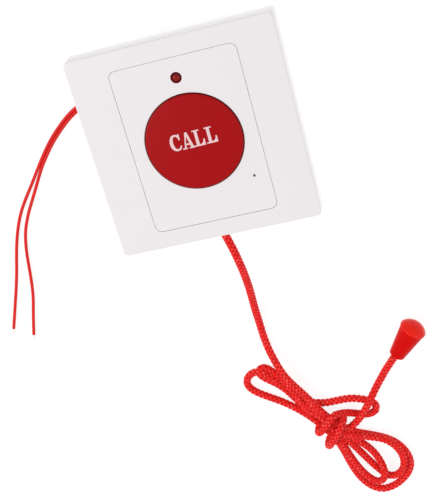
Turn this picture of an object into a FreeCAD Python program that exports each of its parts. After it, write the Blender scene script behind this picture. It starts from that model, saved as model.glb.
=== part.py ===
import FreeCAD, Part
import math
import os
from FreeCAD import Placement, Rotation, Vector

os.makedirs("parts", exist_ok=True)

# Emergency call switch with a pull cord, lying on its back.
# X runs right across the plate, Y up the plate towards the indicator, Z out of the face.
# The origin is at the middle of the back of the case. Sizes are in millimetres.

# Plate and case
plate_size = 86.0
plate_height = 12.0
plate_corner = 3.5
plate_foot_corner = 1.5
plate_draft = 0.3
plate_wall = 2.0
plate_edge_fillet = 0.6
case_depth = 20.0
case_side_inset = 0.6
case_end_inset = 2.65
case_wall = 2.0
case_corner = 3.0
case_edge_fillet = 1.2

# Front panel, with the flange that is screwed to the wall
panel_width = 52.2
panel_length = 70.3
panel_corner = 3.0
panel_gap = 0.12
panel_face = 2.0
panel_skirt = 1.6
panel_edge_fillet = 0.25
flange_thick = 2.0
flange_gap = 0.3
screw_spacing = 60.3
screw_slot_width = 4.2
screw_slot_length = 8.0
lip_wall = 1.2
lip_depth = 4.0

# Clip hooks of the surround
hook_count = 2
hook_pitch = 40.0
hook_length = 8.0
hook_reach = 1.1
hook_thick = 0.7
hook_gap = 0.2
tongue_thick = 1.0

# Call button
button_radius = 19.95
button_gap = 0.35
button_wall = 1.6
button_rise = 0.7
button_crown = 0.9
button_edge = 0.7
button_travel = 2.5
button_lip = 1.5
button_lip_thick = 1.4
button_lip_gap = 0.3
button_pin_radius = 1.5
button_pin_circle = 16.0
button_pin_count = 3
button_post_radius = 2.6
button_post_length = 5.9
pin_clearance = 0.08

# Button spring
spring_radius = 7.0
spring_wire = 0.9
spring_turns = 4.5
spring_seat_gap = 0.4
spring_collar = 1.0
spring_collar_height = 1.5

# Chassis plate inside
chassis_thick = 1.8
chassis_gap = 0.3
chassis_corner = 2.0
chassis_sink = 0.2
guide_wall = 1.4
guide_height = 2.6

# Clamping screws and their columns
column_inset = 3.3
column_radius = 3.2
boss_radius = 2.5
case_screw_radius = 1.25
case_screw_head_radius = 2.3
case_screw_head = 1.8
case_screw_seat = 3.5
case_screw_bite = 5.5
screw_clearance = 0.25
thread_clearance = 0.05

# Circuit board
board_thick = 1.6
board_gap = 0.3
board_corner = 2.0
board_notch_gap = 0.5
board_post_inset = 3.5
board_post_setback = 18.5
board_post_radius = 2.5
board_screw_radius = 0.85
board_screw_length = 6.0
board_screw_head_radius = 1.9
board_screw_head = 1.3

# Push switch under the button
switch_size = 8.5
switch_height = 5.4
switch_headroom = 0.8
switch_bore_spare = 0.5
switch_plunger_radius = 1.6
switch_plunger_inside = 0.6
switch_plunger_clearance = 0.08

# Indicator
led_shift = 0.625
led_radius = 2.5
led_gap = 0.15
led_flange = 0.4
led_flange_thick = 1.0
led_length = 8.6
led_proud = 0.4
led_lead_radius = 0.25
led_lead_pitch = 2.54
led_lead_end = 1.5
led_slot_gap = 0.6

# Reset switch below the pinhole
pinhole_side_inset = 6.2
pinhole_end_inset = 15.55
pinhole_radius = 0.6
reset_size = 6.0
reset_height = 3.5
reset_stem_radius = 1.7
reset_travel = 0.3
reset_stem_gap = 0.4
reset_stem_clearance = 0.09
reset_pass_gap = 0.5

# Resistors beside the indicator
resistor_radius = 1.1
resistor_length = 6.0
resistor_wire = 0.3
resistor_span = 9.0
resistor_pitch = 4.0
resistor_x = -7.0
resistor_y = 21.0
resistor_lift = 0.4
resistor_bend = 0.9
resistor_leg_end = 1.0

# Pull cord, its slider and its springs
cord_diameter = 3.3
cord_rise = 4.3
pull_room = 4.25
slider_front_wall = 1.4
slider_button_gap = 0.3
slider_top_gap = 1.4
slider_lift = 0.2
cord_slot_gap = 0.2
knot_radius = 2.9
knot_gap = 0.1
knot_back_gap = 0.3
pull_spring_inset = 2.8
pull_spring_radius = 1.5
pull_spring_wire = 0.4
pull_spring_turns = 6.0
pull_spring_pocket = 3.6
pull_spring_pocket_gap = 0.4
rail_width = 1.5
rail_height = 1.4
rail_gap = 0.2

# Switch worked by the slider's ramp
pull_switch_gap = 0.5
pull_switch_width = 5.2
pull_switch_length = 8.0
pull_switch_height = 5.0
pull_switch_lead = 3.1
pull_switch_room = 3.0
pull_plunger_radius = 0.9
pull_plunger_rise = 3.2
pull_plunger_inside = 0.5
pull_plunger_bore = 2.0
pull_plunger_clearance = 0.08
pull_plunger_tip_gap = 0.06
ramp_slope = 0.25
ramp_lead = 0.3

# Guide that leads the cord out of the case
guide_tube_radius = 3.0
guide_collar_radius = 3.7
guide_collar_thick = 1.0
guide_bore_gap = 0.3
guide_mouth_fillet = 0.4
guide_seat_gap = 0.15
notch_gap = 0.35

# Bell-shaped handle on the cord's end
bell_mouth_radius = 3.7
bell_radius = 6.1
bell_cone_radius = 5.85
bell_cone_length = 16.0
bell_length = 20.1
bell_wall = 0.8
bell_socket_radius = 4.9
bell_socket_depth = 2.5
bell_spigot_gap = 0.08
bell_spigot_wall = 0.8
bell_lid_rim = 0.8
bell_crown_wall = 1.2
bell_x = 58.2
bell_y = -129.8
bell_heading = 52.9
bell_floor_gap = 0.05
end_knot_radius = 3.3
end_knot_place = 6.0

# Connecting wires and their grommet
wire_diameter = 1.4
wire_exit_inset = 14.65
wire_exit_height = 8.5
wire_pair_pitch = 1.5
wire_tip_diameter = 0.8
wire_tip_length = 3.5
connector_width = 5.0
connector_length = 7.0
connector_face_x = -18.5
connector_drop = 5.6
grommet_radius = 2.6
grommet_flange = 0.9
grommet_flange_thick = 0.8
grommet_bore = 1.65
grommet_fit = 0.05

# Hank of the cord: two flat lobes and the tied middle, each between two circles
hank_height = 6.8
knot_height = 12.2
hank_fillet = 2.4
upper_lobe = ((-6.2, -131.0, 8.8), (14.5, -155.0, 7.0))
lower_lobe = ((26.5, -166.0, 8.0), (40.3, -189.3, 15.2))
tied_lobe = ((17.8, -159.5, 7.6), (26.0, -166.5, 6.6))

# Levels and places that follow from the sizes above
wall_plane = case_depth
face_top = wall_plane + plate_height
face_under = face_top - panel_face
plate_inner = plate_size - 2 * plate_wall
flange_size = plate_inner - 2 * flange_gap
flange_top = wall_plane + flange_thick
case_width = panel_width - 2 * case_side_inset
case_length = panel_length - 2 * case_end_inset
case_inner_width = case_width - 2 * case_wall
case_inner_length = case_length - 2 * case_wall
skirt_inner_y = panel_length / 2 - panel_skirt
chassis_bottom = wall_plane - chassis_sink
chassis_top = chassis_bottom + chassis_thick
chassis_width = case_inner_width - 2 * chassis_gap
chassis_length = case_inner_length - 2 * chassis_gap
switch_top = chassis_bottom - switch_headroom
board_top = switch_top - switch_height
board_height = board_top - board_thick
column_x = case_inner_width / 2 - column_inset
column_y = case_inner_length / 2 - column_inset
column_places = [(sx * column_x, sy * column_y) for sx in (-1, 1) for sy in (-1, 1)]
board_post_x = case_inner_width / 2 - board_post_inset
board_post_y = case_inner_length / 2 - board_post_setback
board_post_places = [(sx * board_post_x, sy * board_post_y) for sx in (-1, 1) for sy in (-1, 1)]
opening_radius = button_radius + button_gap
button_rim_top = face_top + button_rise
button_ceiling = button_rim_top - button_wall
button_lip_top = face_under - button_lip_gap
plunger_top = button_ceiling - button_post_length
switch_bore_depth = switch_plunger_inside + button_travel + switch_bore_spare
pinhole_x = panel_width / 2 - pinhole_side_inset
pinhole_y = -(panel_length / 2 - pinhole_end_inset)
reset_top = face_under - reset_stem_gap
led_y = (button_radius + panel_length / 2) / 2 - led_shift
led_top = face_top + led_proud
led_bottom = led_top - led_length
cord_radius = cord_diameter / 2
cord_height = chassis_top + cord_rise
slider_back = -(button_radius + button_lip + slider_button_gap)
slider_front = pull_room - skirt_inner_y
slider_bottom = flange_top + slider_lift
slider_top = face_under - slider_top_gap
knot_length = slider_back - slider_front - slider_front_wall - knot_gap - knot_back_gap
pull_switch_x = column_x - boss_radius - pull_switch_gap - pull_switch_width
slider_width = 2 * (pull_switch_x - pull_switch_room)
pull_spring_x = slider_width / 2 - pull_spring_inset
pull_switch_y = slider_front + pull_switch_lead
pull_plunger_height = chassis_top + pull_plunger_rise
wire_exit_y = panel_length / 2 - wire_exit_inset
up = Vector(0, 0, 1)

# Cord route from the slider to the hank, the bight and the tail. Each point was chosen by eye.
cord_floor = cord_radius + 0.02
lead_points = [
    (0.0, slider_front + slider_front_wall + knot_gap, cord_height),
    (0.0, -47.5, cord_height),
    (2.4, -66.0, 18.6),
    (0.5, -88.5, 6.0),
    (0.0, -104.0, cord_floor),
    (1.8, -117.0, 2.1),
    (5.2, -129.0, 4.4),
    (12.0, -142.5, 4.8),
]
bight_points = [
    (14.5, -149.0, 3.0),
    (21.5, -149.0, 1.9),
    (29.6, -149.3, 1.8),
    (36.8, -148.8, 1.8),
    (42.3, -151.4, 1.8),
    (43.2, -156.2, 1.8),
    (39.4, -159.6, 1.8),
    (33.6, -158.2, 1.8),
    (27.5, -156.3, 3.4),
]
tail_points = [
    (25.5, -166.2, 5.6),
    (31.6, -161.5, 5.9),
    (37.0, -155.9, 5.9),
    (41.3, -149.6, 5.5),
    (45.5, -145.3, 3.2),
    (49.5, -140.3, 2.0),
    (53.6, -135.0, 2.1),
    (57.4, -130.2, 3.6),
    (59.9, -127.6, 4.2),
]

# Routes of the two wires, from the connector to their stripped ends
wire_floor = wire_diameter / 2 + 0.05
wire_a_points = [
    (connector_face_x, wire_exit_y + wire_pair_pitch / 2, wire_exit_height),
    (-31.0, wire_exit_y + wire_pair_pitch / 2, wire_exit_height),
    (-44.6, 20.9, 3.4),
    (-57.6, 14.6, wire_floor),
    (-68.9, 5.0, wire_floor),
    (-80.0, -7.6, wire_floor),
    (-90.4, -20.2, wire_floor),
    (-99.4, -36.0, wire_floor),
    (-104.4, -52.3, wire_floor),
    (-110.6, -66.6, wire_floor),
    (-115.8, -79.6, wire_floor),
]
wire_b_points = [
    (connector_face_x, wire_exit_y - wire_pair_pitch / 2, wire_exit_height),
    (-31.0, wire_exit_y - wire_pair_pitch / 2, wire_exit_height),
    (-43.9, 19.3, 3.4),
    (-56.6, 13.3, wire_floor),
    (-67.7, 3.9, wire_floor),
    (-78.6, -8.6, wire_floor),
    (-87.8, -21.6, wire_floor),
    (-95.0, -35.4, wire_floor),
    (-97.2, -49.0, wire_floor),
    (-99.8, -61.8, wire_floor),
    (-104.2, -73.4, wire_floor),
    (-107.4, -85.0, wire_floor),
]


def rounded_wire(width, length, corner, z):
    x, y, k = width / 2, length / 2, corner * (1 - math.sqrt(0.5))
    edges = []
    corners = [(x, y, 1, 1), (-x, y, -1, 1), (-x, -y, -1, -1), (x, -y, 1, -1)]
    ends = []
    for cx, cy, sx, sy in corners:
        on_side = Vector(cx, cy - sy * corner, z)
        on_top = Vector(cx - sx * corner, cy, z)
        middle = Vector(cx - sx * k, cy - sy * k, z)
        first, last = (on_side, on_top) if sx * sy > 0 else (on_top, on_side)
        edges.append(Part.Arc(first, middle, last).toShape())
        ends.append((first, last))
    for i in range(4):
        edges.append(Part.LineSegment(ends[i][1], ends[(i + 1) % 4][0]).toShape())
    return Part.Wire(Part.__sortEdges__(edges))


def rounded_block(width, length, corner, low, high):
    face = Part.Face(rounded_wire(width, length, corner, low))
    return face.extrude(Vector(0, 0, high - low))


def block(x0, x1, y0, y1, z0, z1):
    return Part.makeBox(x1 - x0, y1 - y0, z1 - z0, Vector(x0, y0, z0))


def post(x, y, radius, low, high):
    return Part.makeCylinder(radius, high - low, Vector(x, y, low))


def lathe(profile, x=0.0, y=0.0):
    points = [Vector(r, 0, z) for r, z in profile]
    face = Part.Face(Part.makePolygon(points + points[:1]))
    solid = face.revolve(Vector(0, 0, 0), up, 360)
    solid.translate(Vector(x, y, 0))
    return solid


def along_y(radius, y0, y1, x, z):
    return Part.makeCylinder(radius, abs(y1 - y0), Vector(x, min(y0, y1), z), Vector(0, 1, 0))


def along_x(radius, x0, x1, y, z):
    return Part.makeCylinder(radius, abs(x1 - x0), Vector(min(x0, x1), y, z), Vector(1, 0, 0))


def fillet_at(solid, radius, chosen):
    edges = [e for e in solid.Edges if chosen(e.BoundBox)]
    return solid.makeFillet(radius, edges)


def joined(first, others):
    return first.fuse(list(others)).removeSplitter()


def group(solids):
    return Part.makeCompound(solids)


def coil(radius, wire, length, turns, place):
    lift = wire / 2 + 0.05
    height = length - 2 * lift
    path = Part.makeHelix(height / turns, height, radius)
    ring = Part.Circle(Vector(radius, 0, 0), Vector(0, 1, 0), wire / 2).toShape()
    solid = Part.Wire(path).makePipeShell([Part.Wire(ring)], True, True)
    solid.translate(Vector(0, 0, lift))
    solid.Placement = place.multiply(solid.Placement)
    return solid


def save(name, shape):
    shape.exportStep("parts/" + name + ".step")


# Surround: the clip-on outer frame
def make_surround():
    foot = rounded_wire(plate_size, plate_size, plate_foot_corner, wall_plane)
    crown_size = plate_size - 2 * plate_draft
    crown = rounded_wire(crown_size, crown_size, plate_corner, face_top)
    shell = Part.makeLoft([foot, crown], True, True)
    shell = fillet_at(shell, plate_edge_fillet, lambda b: b.ZMin > face_top - 0.01)
    shell = shell.cut(rounded_block(plate_inner, plate_inner, plate_foot_corner, wall_plane - 1, face_under))
    window_width = panel_width + 2 * panel_gap
    window_length = panel_length + 2 * panel_gap
    window_corner = panel_corner + panel_gap
    lip = rounded_block(window_width + 2 * lip_wall, window_length + 2 * lip_wall,
                        window_corner + lip_wall, face_under - lip_depth, face_under)
    shell = shell.fuse(lip)
    window = rounded_block(window_width, window_length, window_corner, wall_plane, face_top + 1)
    shell = shell.cut(window)
    shell = joined(shell, surround_hooks() + surround_ribs(window_width / 2, window_length / 2))
    return shell.cut(cord_notch())


def surround_hooks():
    hooks = []
    z0 = wall_plane + hook_gap
    z1 = z0 + hook_thick
    edge = plate_inner / 2
    for i in range(hook_count):
        middle = (i - (hook_count - 1) / 2) * hook_pitch
        a, b = middle - hook_length / 2, middle + hook_length / 2
        for side in (-1, 1):
            x0, x1 = sorted((side * (edge - hook_reach), side * (edge + plate_wall / 4)))
            hooks.append(block(x0, x1, a, b, z0, z1))
            hooks.append(block(a, b, x0, x1, z0, z1))
    return hooks


def surround_ribs(window_x, window_y):
    ribs = []
    z0, z1 = face_under - lip_depth / 2, face_under + panel_face / 4
    near_x, near_y, far = window_x + lip_wall / 2, window_y + lip_wall / 2, plate_inner / 2 + plate_wall / 4
    for place in (-screw_spacing / 3, screw_spacing / 3):
        a, b = place - lip_wall / 2, place + lip_wall / 2
        for side in (-1, 1):
            x0, x1 = sorted((side * near_x, side * far))
            ribs.append(block(x0, x1, a, b, z0, z1))
            y0, y1 = sorted((side * near_y, side * far))
            ribs.append(block(a, b, y0, y1, z0, z1))
    return ribs


def cord_notch():
    half = guide_tube_radius + notch_gap
    outer = -plate_size / 2 - 1
    inner = -(panel_length / 2 + panel_gap)
    slot = block(-half, half, outer, inner, wall_plane - 1, cord_height)
    arch = along_y(half, outer, inner, 0, cord_height)
    wide = guide_collar_radius + notch_gap
    relief = block(-wide, wide, -(panel_length / 2 + panel_gap + lip_wall) - 0.1, inner,
                   wall_plane, face_under - 0.01)
    return slot.fuse([arch, relief])


# Front panel: face, skirt, wall flange and screw bosses in one moulding
def make_front_panel():
    outer = rounded_block(panel_width, panel_length, panel_corner, wall_plane, face_top)
    outer = fillet_at(outer, panel_edge_fillet, lambda b: b.ZMin > face_top - 0.01)
    flange = rounded_block(flange_size, flange_size, plate_foot_corner, wall_plane, flange_top)
    body = joined(outer, [flange])
    skirt_width = panel_width - 2 * panel_skirt
    skirt_length = panel_length - 2 * panel_skirt
    inner_corner = panel_corner - panel_skirt
    body = body.cut(rounded_block(skirt_width, skirt_length, inner_corner, flange_top, face_under))
    below = wall_plane - 1
    body = body.cut(rounded_block(case_inner_width, case_inner_length, chassis_corner, below, flange_top))
    bosses = [post(x, y, boss_radius, chassis_top, face_under + panel_face / 2) for x, y in column_places]
    body = joined(body, bosses)
    bore = case_screw_radius + thread_clearance
    top_of_bore = chassis_top + case_screw_bite + thread_clearance
    cuts = [post(x, y, bore, chassis_top - 1, top_of_bore) for x, y in column_places]
    cuts.append(post(0, 0, opening_radius, face_under - 1, face_top + 1))
    cuts.append(post(0, led_y, led_radius + led_gap, face_under - 1, face_top + 1))
    cuts.append(post(pinhole_x, pinhole_y, pinhole_radius, face_under - 1, face_top + 1))
    seat = guide_tube_radius + guide_seat_gap
    cuts.append(along_y(seat, -panel_length / 2 - 1, -skirt_inner_y + 1, 0, cord_height))
    cuts += [slot_at(side * screw_spacing / 2) for side in (-1, 1)]
    cuts += tongue_reliefs()
    return body.cut(cuts)


def slot_at(x):
    r = screw_slot_width / 2
    reach = screw_slot_length / 2 - r
    middle = block(x - reach, x + reach, -r, r, wall_plane - 1, flange_top + 1)
    ends = [post(x + s * reach, 0, r, wall_plane - 1, flange_top + 1) for s in (-1, 1)]
    return middle.fuse(ends)


def tongue_reliefs():
    reliefs = []
    edge = flange_size / 2
    depth = hook_reach + hook_gap
    for i in range(hook_count):
        middle = (i - (hook_count - 1) / 2) * hook_pitch
        a, b = middle - hook_length / 2 - 1, middle + hook_length / 2 + 1
        for side in (-1, 1):
            x0, x1 = sorted((side * (edge - depth), side * (edge + 1)))
            reliefs.append(block(x0, x1, a, b, wall_plane - 1, flange_top - tongue_thick))
            reliefs.append(block(a, b, x0, x1, wall_plane - 1, flange_top - tongue_thick))
    return reliefs


# Rear case, with screw columns and board posts
def make_rear_case():
    case = rounded_block(case_width, case_length, case_corner, 0, wall_plane)
    case = fillet_at(case, case_edge_fillet, lambda b: b.ZMax < 0.01)
    case = case.cut(rounded_block(case_inner_width, case_inner_length, case_corner - case_wall / 2,
                                  case_wall, wall_plane + 1))
    columns = [post(x, y, column_radius, case_wall / 2, chassis_bottom) for x, y in column_places]
    posts = [post(x, y, board_post_radius, case_wall / 2, board_height) for x, y in board_post_places]
    case = joined(case, columns + posts)
    head = case_screw_head_radius + screw_clearance
    shank = case_screw_radius + screw_clearance
    cuts = [post(x, y, head, -1, case_screw_seat) for x, y in column_places]
    cuts += [post(x, y, shank, -1, wall_plane + 1) for x, y in column_places]
    pilot = board_screw_radius + thread_clearance
    pilot_low = board_top - board_screw_length - thread_clearance
    cuts += [post(x, y, pilot, pilot_low, board_height + 1) for x, y in board_post_places]
    cuts.append(along_x(grommet_radius + grommet_fit, -case_width / 2 - 1, -case_inner_width / 2 + 1,
                        wire_exit_y, wire_exit_height))
    return case.cut(cuts)


# Chassis plate that guides the button, the slider and the small switches
def make_chassis():
    plate = rounded_block(chassis_width, chassis_length, chassis_corner, chassis_bottom, chassis_top)
    collar_out = spring_radius - spring_wire / 2 - spring_seat_gap
    adds = [post(0, 0, collar_out, chassis_bottom, chassis_top + spring_collar_height)]
    adds += [post(x, y, button_pin_radius + guide_wall, chassis_bottom, chassis_top + guide_height)
             for x, y in button_pin_places()]
    rail_x = slider_width / 2 + rail_gap
    rail_end = -chassis_length / 2
    for side in (-1, 1):
        x0, x1 = sorted((side * rail_x, side * (rail_x + rail_width)))
        adds.append(block(x0, x1, rail_end, slider_back, chassis_bottom, chassis_top + rail_height))
    plate = joined(plate, adds)
    low, high = chassis_bottom - 1, chassis_top + guide_height + 1
    cuts = [post(0, 0, collar_out - spring_collar, low, high)]
    cuts += [post(x, y, button_pin_radius + pin_clearance, low, high) for x, y in button_pin_places()]
    cuts += [post(x, y, case_screw_radius + screw_clearance, low, high) for x, y in column_places]
    lead_half = led_lead_pitch / 2 + led_lead_radius + led_slot_gap
    lead_deep = led_lead_radius + led_slot_gap
    cuts.append(block(-lead_half, lead_half, led_y - lead_deep, led_y + lead_deep, low, high))
    cuts.append(post(pinhole_x, pinhole_y, reset_stem_radius + reset_pass_gap, low, high))
    return plate.cut(cuts)


def button_pin_places():
    places = []
    for i in range(button_pin_count):
        turn = math.radians(90 + 360 * i / button_pin_count)
        places.append((button_pin_circle * math.cos(turn), button_pin_circle * math.sin(turn)))
    return places


# Call button: a crowned cup with a retaining lip, guide pins and a centre post
def make_button_cap():
    r, crown = button_radius, button_rim_top + button_crown
    dome = (r * r + button_crown ** 2) / (2 * button_crown)
    cap = post(0, 0, r, button_lip_top - button_lip_thick, crown)
    ball = Part.makeSphere(dome, Vector(0, 0, crown - dome))
    cap = cap.common(ball)
    cap = fillet_at(cap, button_edge, lambda b: b.ZMin > button_rim_top - 0.01 and b.XLength > r)
    lip = post(0, 0, r + button_lip, button_lip_top - button_lip_thick, button_lip_top)
    cap = joined(cap, [lip])
    cap = cap.cut(post(0, 0, r - button_wall, wall_plane, button_ceiling))
    ring_in = spring_radius + spring_wire / 2 + spring_seat_gap
    ring = post(0, 0, ring_in + spring_collar, button_ceiling - spring_collar_height, button_ceiling + 0.1)
    ring = ring.cut(post(0, 0, ring_in, wall_plane, button_ceiling + 1))
    adds = [ring, post(0, 0, button_post_radius, plunger_top, button_ceiling + 0.1)]
    adds += [post(x, y, button_pin_radius, pin_end(), button_ceiling + 0.1) for x, y in button_pin_places()]
    return joined(cap, adds)


def pin_end():
    return chassis_bottom - 0.2


def make_button_spring():
    place = Placement(Vector(0, 0, chassis_top), Rotation())
    return coil(spring_radius, spring_wire, button_ceiling - chassis_top, spring_turns, place)


# Circuit board and what is soldered to it
def make_board():
    board = rounded_block(case_inner_width - 2 * board_gap, case_inner_length - 2 * board_gap,
                          board_corner, board_height, board_top)
    low, high = board_height - 1, board_top + 1
    notch = column_radius + board_notch_gap
    cuts = [post(x, y, notch, low, high) for x, y in column_places]
    for x, y in column_places:
        sx, sy = math.copysign(1, x), math.copysign(1, y)
        x0, x1 = sorted((x, sx * case_width / 2))
        y0, y1 = sorted((y - sy * notch, sy * case_length / 2))
        cuts.append(block(x0, x1, y0, y1, low, high))
        x0, x1 = sorted((x - sx * notch, sx * case_width / 2))
        y0, y1 = sorted((y, sy * case_length / 2))
        cuts.append(block(x0, x1, y0, y1, low, high))
    cuts += [post(x, y, board_screw_radius + screw_clearance, low, high) for x, y in board_post_places]
    cuts += [post(x, led_y, led_lead_radius + thread_clearance, low, high) for x in led_lead_places()]
    cuts += [post(x, y, resistor_wire + thread_clearance, low, high) for x, y in resistor_pins()]
    return board.cut(cuts)


def led_lead_places():
    return [side * led_lead_pitch / 2 for side in (-1, 1)]


def resistor_pins():
    pins = []
    for i in range(2):
        y = resistor_y - i * resistor_pitch
        pins += [(resistor_x + side * resistor_span / 2, y) for side in (-1, 1)]
    return pins


def make_resistors():
    solids = []
    z = board_top + resistor_lift + resistor_radius
    low = board_height - resistor_leg_end
    for i in range(2):
        y = resistor_y - i * resistor_pitch
        x0, x1 = resistor_x - resistor_length / 2, resistor_x + resistor_length / 2
        body = along_x(resistor_radius, x0, x1, y, z)
        x0, x1 = resistor_x - resistor_span / 2, resistor_x + resistor_span / 2
        lead = bent_wire([(x0, y, low), (x0, y, z), (x1, y, z), (x1, y, low)], resistor_wire, resistor_bend)
        solids.append(joined(body, [lead]))
    return group(solids)


def screw(x, y, seat, direction, radius, length, head_radius, head):
    tip = seat + direction * length
    low, high = sorted((seat, tip))
    shank = post(x, y, radius, low, high)
    low, high = sorted((seat, seat - direction * head))
    cap = post(x, y, head_radius, low, high)
    top = seat - direction * head
    cap = fillet_at(cap, head / 3, lambda b: abs(b.ZMin - top) < 0.01 and b.ZLength < 0.01)
    solid = joined(cap, [shank])
    deep = head * 0.55
    low, high = sorted((seat - direction * (head - deep), seat - direction * (head + 1)))
    arm, half = head_radius * 0.62, head_radius * 0.13
    cross = block(x - arm, x + arm, y - half, y + half, low, high)
    cross = cross.fuse(block(x - half, x + half, y - arm, y + arm, low, high))
    return solid.cut(cross)


def make_board_screws():
    return group([screw(x, y, board_top, -1, board_screw_radius, board_screw_length,
                        board_screw_head_radius, board_screw_head) for x, y in board_post_places])


def make_case_screws():
    length = chassis_top + case_screw_bite - case_screw_seat
    return group([screw(x, y, case_screw_seat, 1, case_screw_radius, length,
                        case_screw_head_radius, case_screw_head) for x, y in column_places])


# Push switch, its plunger, the reset switch and its stem
def make_push_switch():
    half = switch_size / 2
    body = block(-half, half, -half, half, board_top, switch_top)
    body = fillet_at(body, 0.4, lambda b: b.ZLength > switch_height - 0.01)
    bore = switch_plunger_radius + switch_plunger_clearance
    return body.cut(post(0, 0, bore, switch_top - switch_bore_depth, switch_top + 1))


def make_push_plunger():
    return post(0, 0, switch_plunger_radius, switch_top - switch_plunger_inside, plunger_top)


def make_reset_switch():
    half = reset_size / 2
    top = board_top + reset_height
    body = block(pinhole_x - half, pinhole_x + half, pinhole_y - half, pinhole_y + half, board_top, top)
    bore = reset_stem_radius + reset_stem_clearance
    return body.cut(post(pinhole_x, pinhole_y, bore, top - 2 * reset_travel - 1, top + 1))


def make_reset_stem():
    low = board_top + reset_height - reset_travel - 0.2
    stem = post(pinhole_x, pinhole_y, reset_stem_radius, low, reset_top)
    return fillet_at(stem, 0.3, lambda b: b.ZMin > reset_top - 0.01)


# Indicator lamp and its two leads
def make_led_lens():
    shoulder = led_top - led_radius
    rim = led_radius + led_flange
    bulb = post(0, led_y, led_radius, led_bottom, shoulder)
    cap = Part.makeSphere(led_radius, Vector(0, led_y, shoulder))
    return joined(bulb, [cap, post(0, led_y, rim, led_bottom, led_bottom + led_flange_thick)])


def make_led_leads():
    low = board_height - led_lead_end
    return group([post(x, led_y, led_lead_radius, low, led_bottom) for x in led_lead_places()])


# Pull slider: a keyhole block with two spring pockets and a ramp on its side
def make_pull_slider():
    half = slider_width / 2
    body = block(-half, half, slider_front, slider_back, slider_bottom, slider_top)
    body = body.fuse(slider_ramp())
    slot = cord_radius + cord_slot_gap
    pocket = knot_radius + knot_gap
    pocket_front = slider_front + slider_front_wall
    cuts = [
        block(-slot, slot, slider_front - 1, slider_back, cord_height, slider_top + 1),
        along_y(slot, slider_front - 1, slider_back, 0, cord_height),
        block(-pocket, pocket, pocket_front, slider_back + 1, cord_height, slider_top + 1),
        along_y(pocket, pocket_front, slider_back + 1, 0, cord_height),
    ]
    bore = pull_spring_radius + pull_spring_wire / 2 + pull_spring_pocket_gap
    deep = slider_front + pull_spring_pocket
    cuts += [along_y(bore, slider_front - 1, deep, side * pull_spring_x, cord_height) for side in (-1, 1)]
    return body.cut(cuts)


def ramp_face(y):
    return slider_width / 2 + ramp_lead + ramp_slope * (y - pull_switch_y)


def slider_ramp():
    half = slider_width / 2
    start = pull_switch_y - ramp_lead / ramp_slope
    low = chassis_top + rail_height + rail_gap
    outline = [Vector(half - 0.1, start, low), Vector(half, start, low),
               Vector(ramp_face(slider_back), slider_back, low), Vector(half - 0.1, slider_back, low)]
    face = Part.Face(Part.makePolygon(outline + outline[:1]))
    return face.extrude(Vector(0, 0, slider_top - low))


def make_pull_springs():
    start = -skirt_inner_y
    length = slider_front + pull_spring_pocket - start
    solids = []
    for side in (-1, 1):
        place = Placement(Vector(side * pull_spring_x, start, cord_height), Rotation(up, Vector(0, 1, 0)))
        solids.append(coil(pull_spring_radius, pull_spring_wire, length, pull_spring_turns, place))
    return group(solids)


def make_pull_switch():
    x0 = pull_switch_x
    y0 = pull_switch_y - pull_switch_length / 2
    x1, y1 = x0 + pull_switch_width, y0 + pull_switch_length
    body = block(x0, x1, y0, y1, chassis_top, chassis_top + pull_switch_height)
    bore = along_x(pull_plunger_radius + pull_plunger_clearance, x0 - 1, x0 + pull_plunger_bore,
                   pull_switch_y, pull_plunger_height)
    return body.cut(bore)


def make_pull_switch_plunger():
    slant = math.sqrt(1 + ramp_slope ** 2)
    centre = ramp_face(pull_switch_y) + (pull_plunger_radius + pull_plunger_tip_gap) * slant
    inner = pull_switch_x + pull_plunger_inside
    rod = along_x(pull_plunger_radius, centre, inner, pull_switch_y, pull_plunger_height)
    tip = Part.makeSphere(pull_plunger_radius, Vector(centre, pull_switch_y, pull_plunger_height))
    return joined(rod, [tip])


# Guide through the skirt and the surround
def make_cord_guide():
    inner = -skirt_inner_y
    outer = -plate_size / 2
    tube = along_y(guide_tube_radius, inner, outer, 0, cord_height)
    collar_at = -panel_length / 2
    collar = along_y(guide_collar_radius, collar_at, collar_at - guide_collar_thick, 0, cord_height)
    guide = joined(tube, [collar])
    guide = guide.cut(along_y(cord_radius + guide_bore_gap, inner + 1, outer - 1, 0, cord_height))
    return fillet_at(guide, guide_mouth_fillet, lambda b: b.YMax < outer + 0.01)


# Tubes: straight runs joined by tangent arcs
def tube_path(points, bend=None):
    at = [Vector(*p) for p in points]
    edges, radii = [], []
    start = at[0]
    for i in range(1, len(at) - 1):
        before, after = at[i] - at[i - 1], at[i + 1] - at[i]
        turn = before.getAngle(after)
        reach = 0.45 * min(before.Length, after.Length)
        if bend is not None:
            reach = bend * math.tan(turn / 2)
        radius = reach / math.tan(turn / 2)
        before.normalize()
        after.normalize()
        first, last = at[i] - before * reach, at[i] + after * reach
        inward = after - before
        inward.normalize()
        middle = at[i] + inward * (radius / math.cos(turn / 2) - radius)
        edges.append(Part.LineSegment(start, first).toShape())
        edges.append(Part.Arc(first, middle, last).toShape())
        radii.append(radius)
        start = last
    edges.append(Part.LineSegment(start, at[-1]).toShape())
    return Part.Wire(edges), radii


def swept(path, points, radius):
    heading = Vector(*points[1]) - Vector(*points[0])
    ring = Part.Wire(Part.Circle(Vector(*points[0]), heading, radius).toShape())
    return path.makePipeShell([ring], True, False)


def bent_wire(points, radius, bend):
    return swept(tube_path(points, bend)[0], points, radius)


def make_tube(name, points, diameter):
    path, radii = tube_path(points)
    tube = swept(path, points, diameter / 2)
    ideal = math.pi * diameter ** 2 / 4 * path.Length
    print(name, "length", round(path.Length, 1), "radii", [round(r, 1) for r in radii],
          "volume share", round(tube.Volume / ideal, 4), "lowest", round(tube.optimalBoundingBox().ZMin, 3))
    return tube


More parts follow.
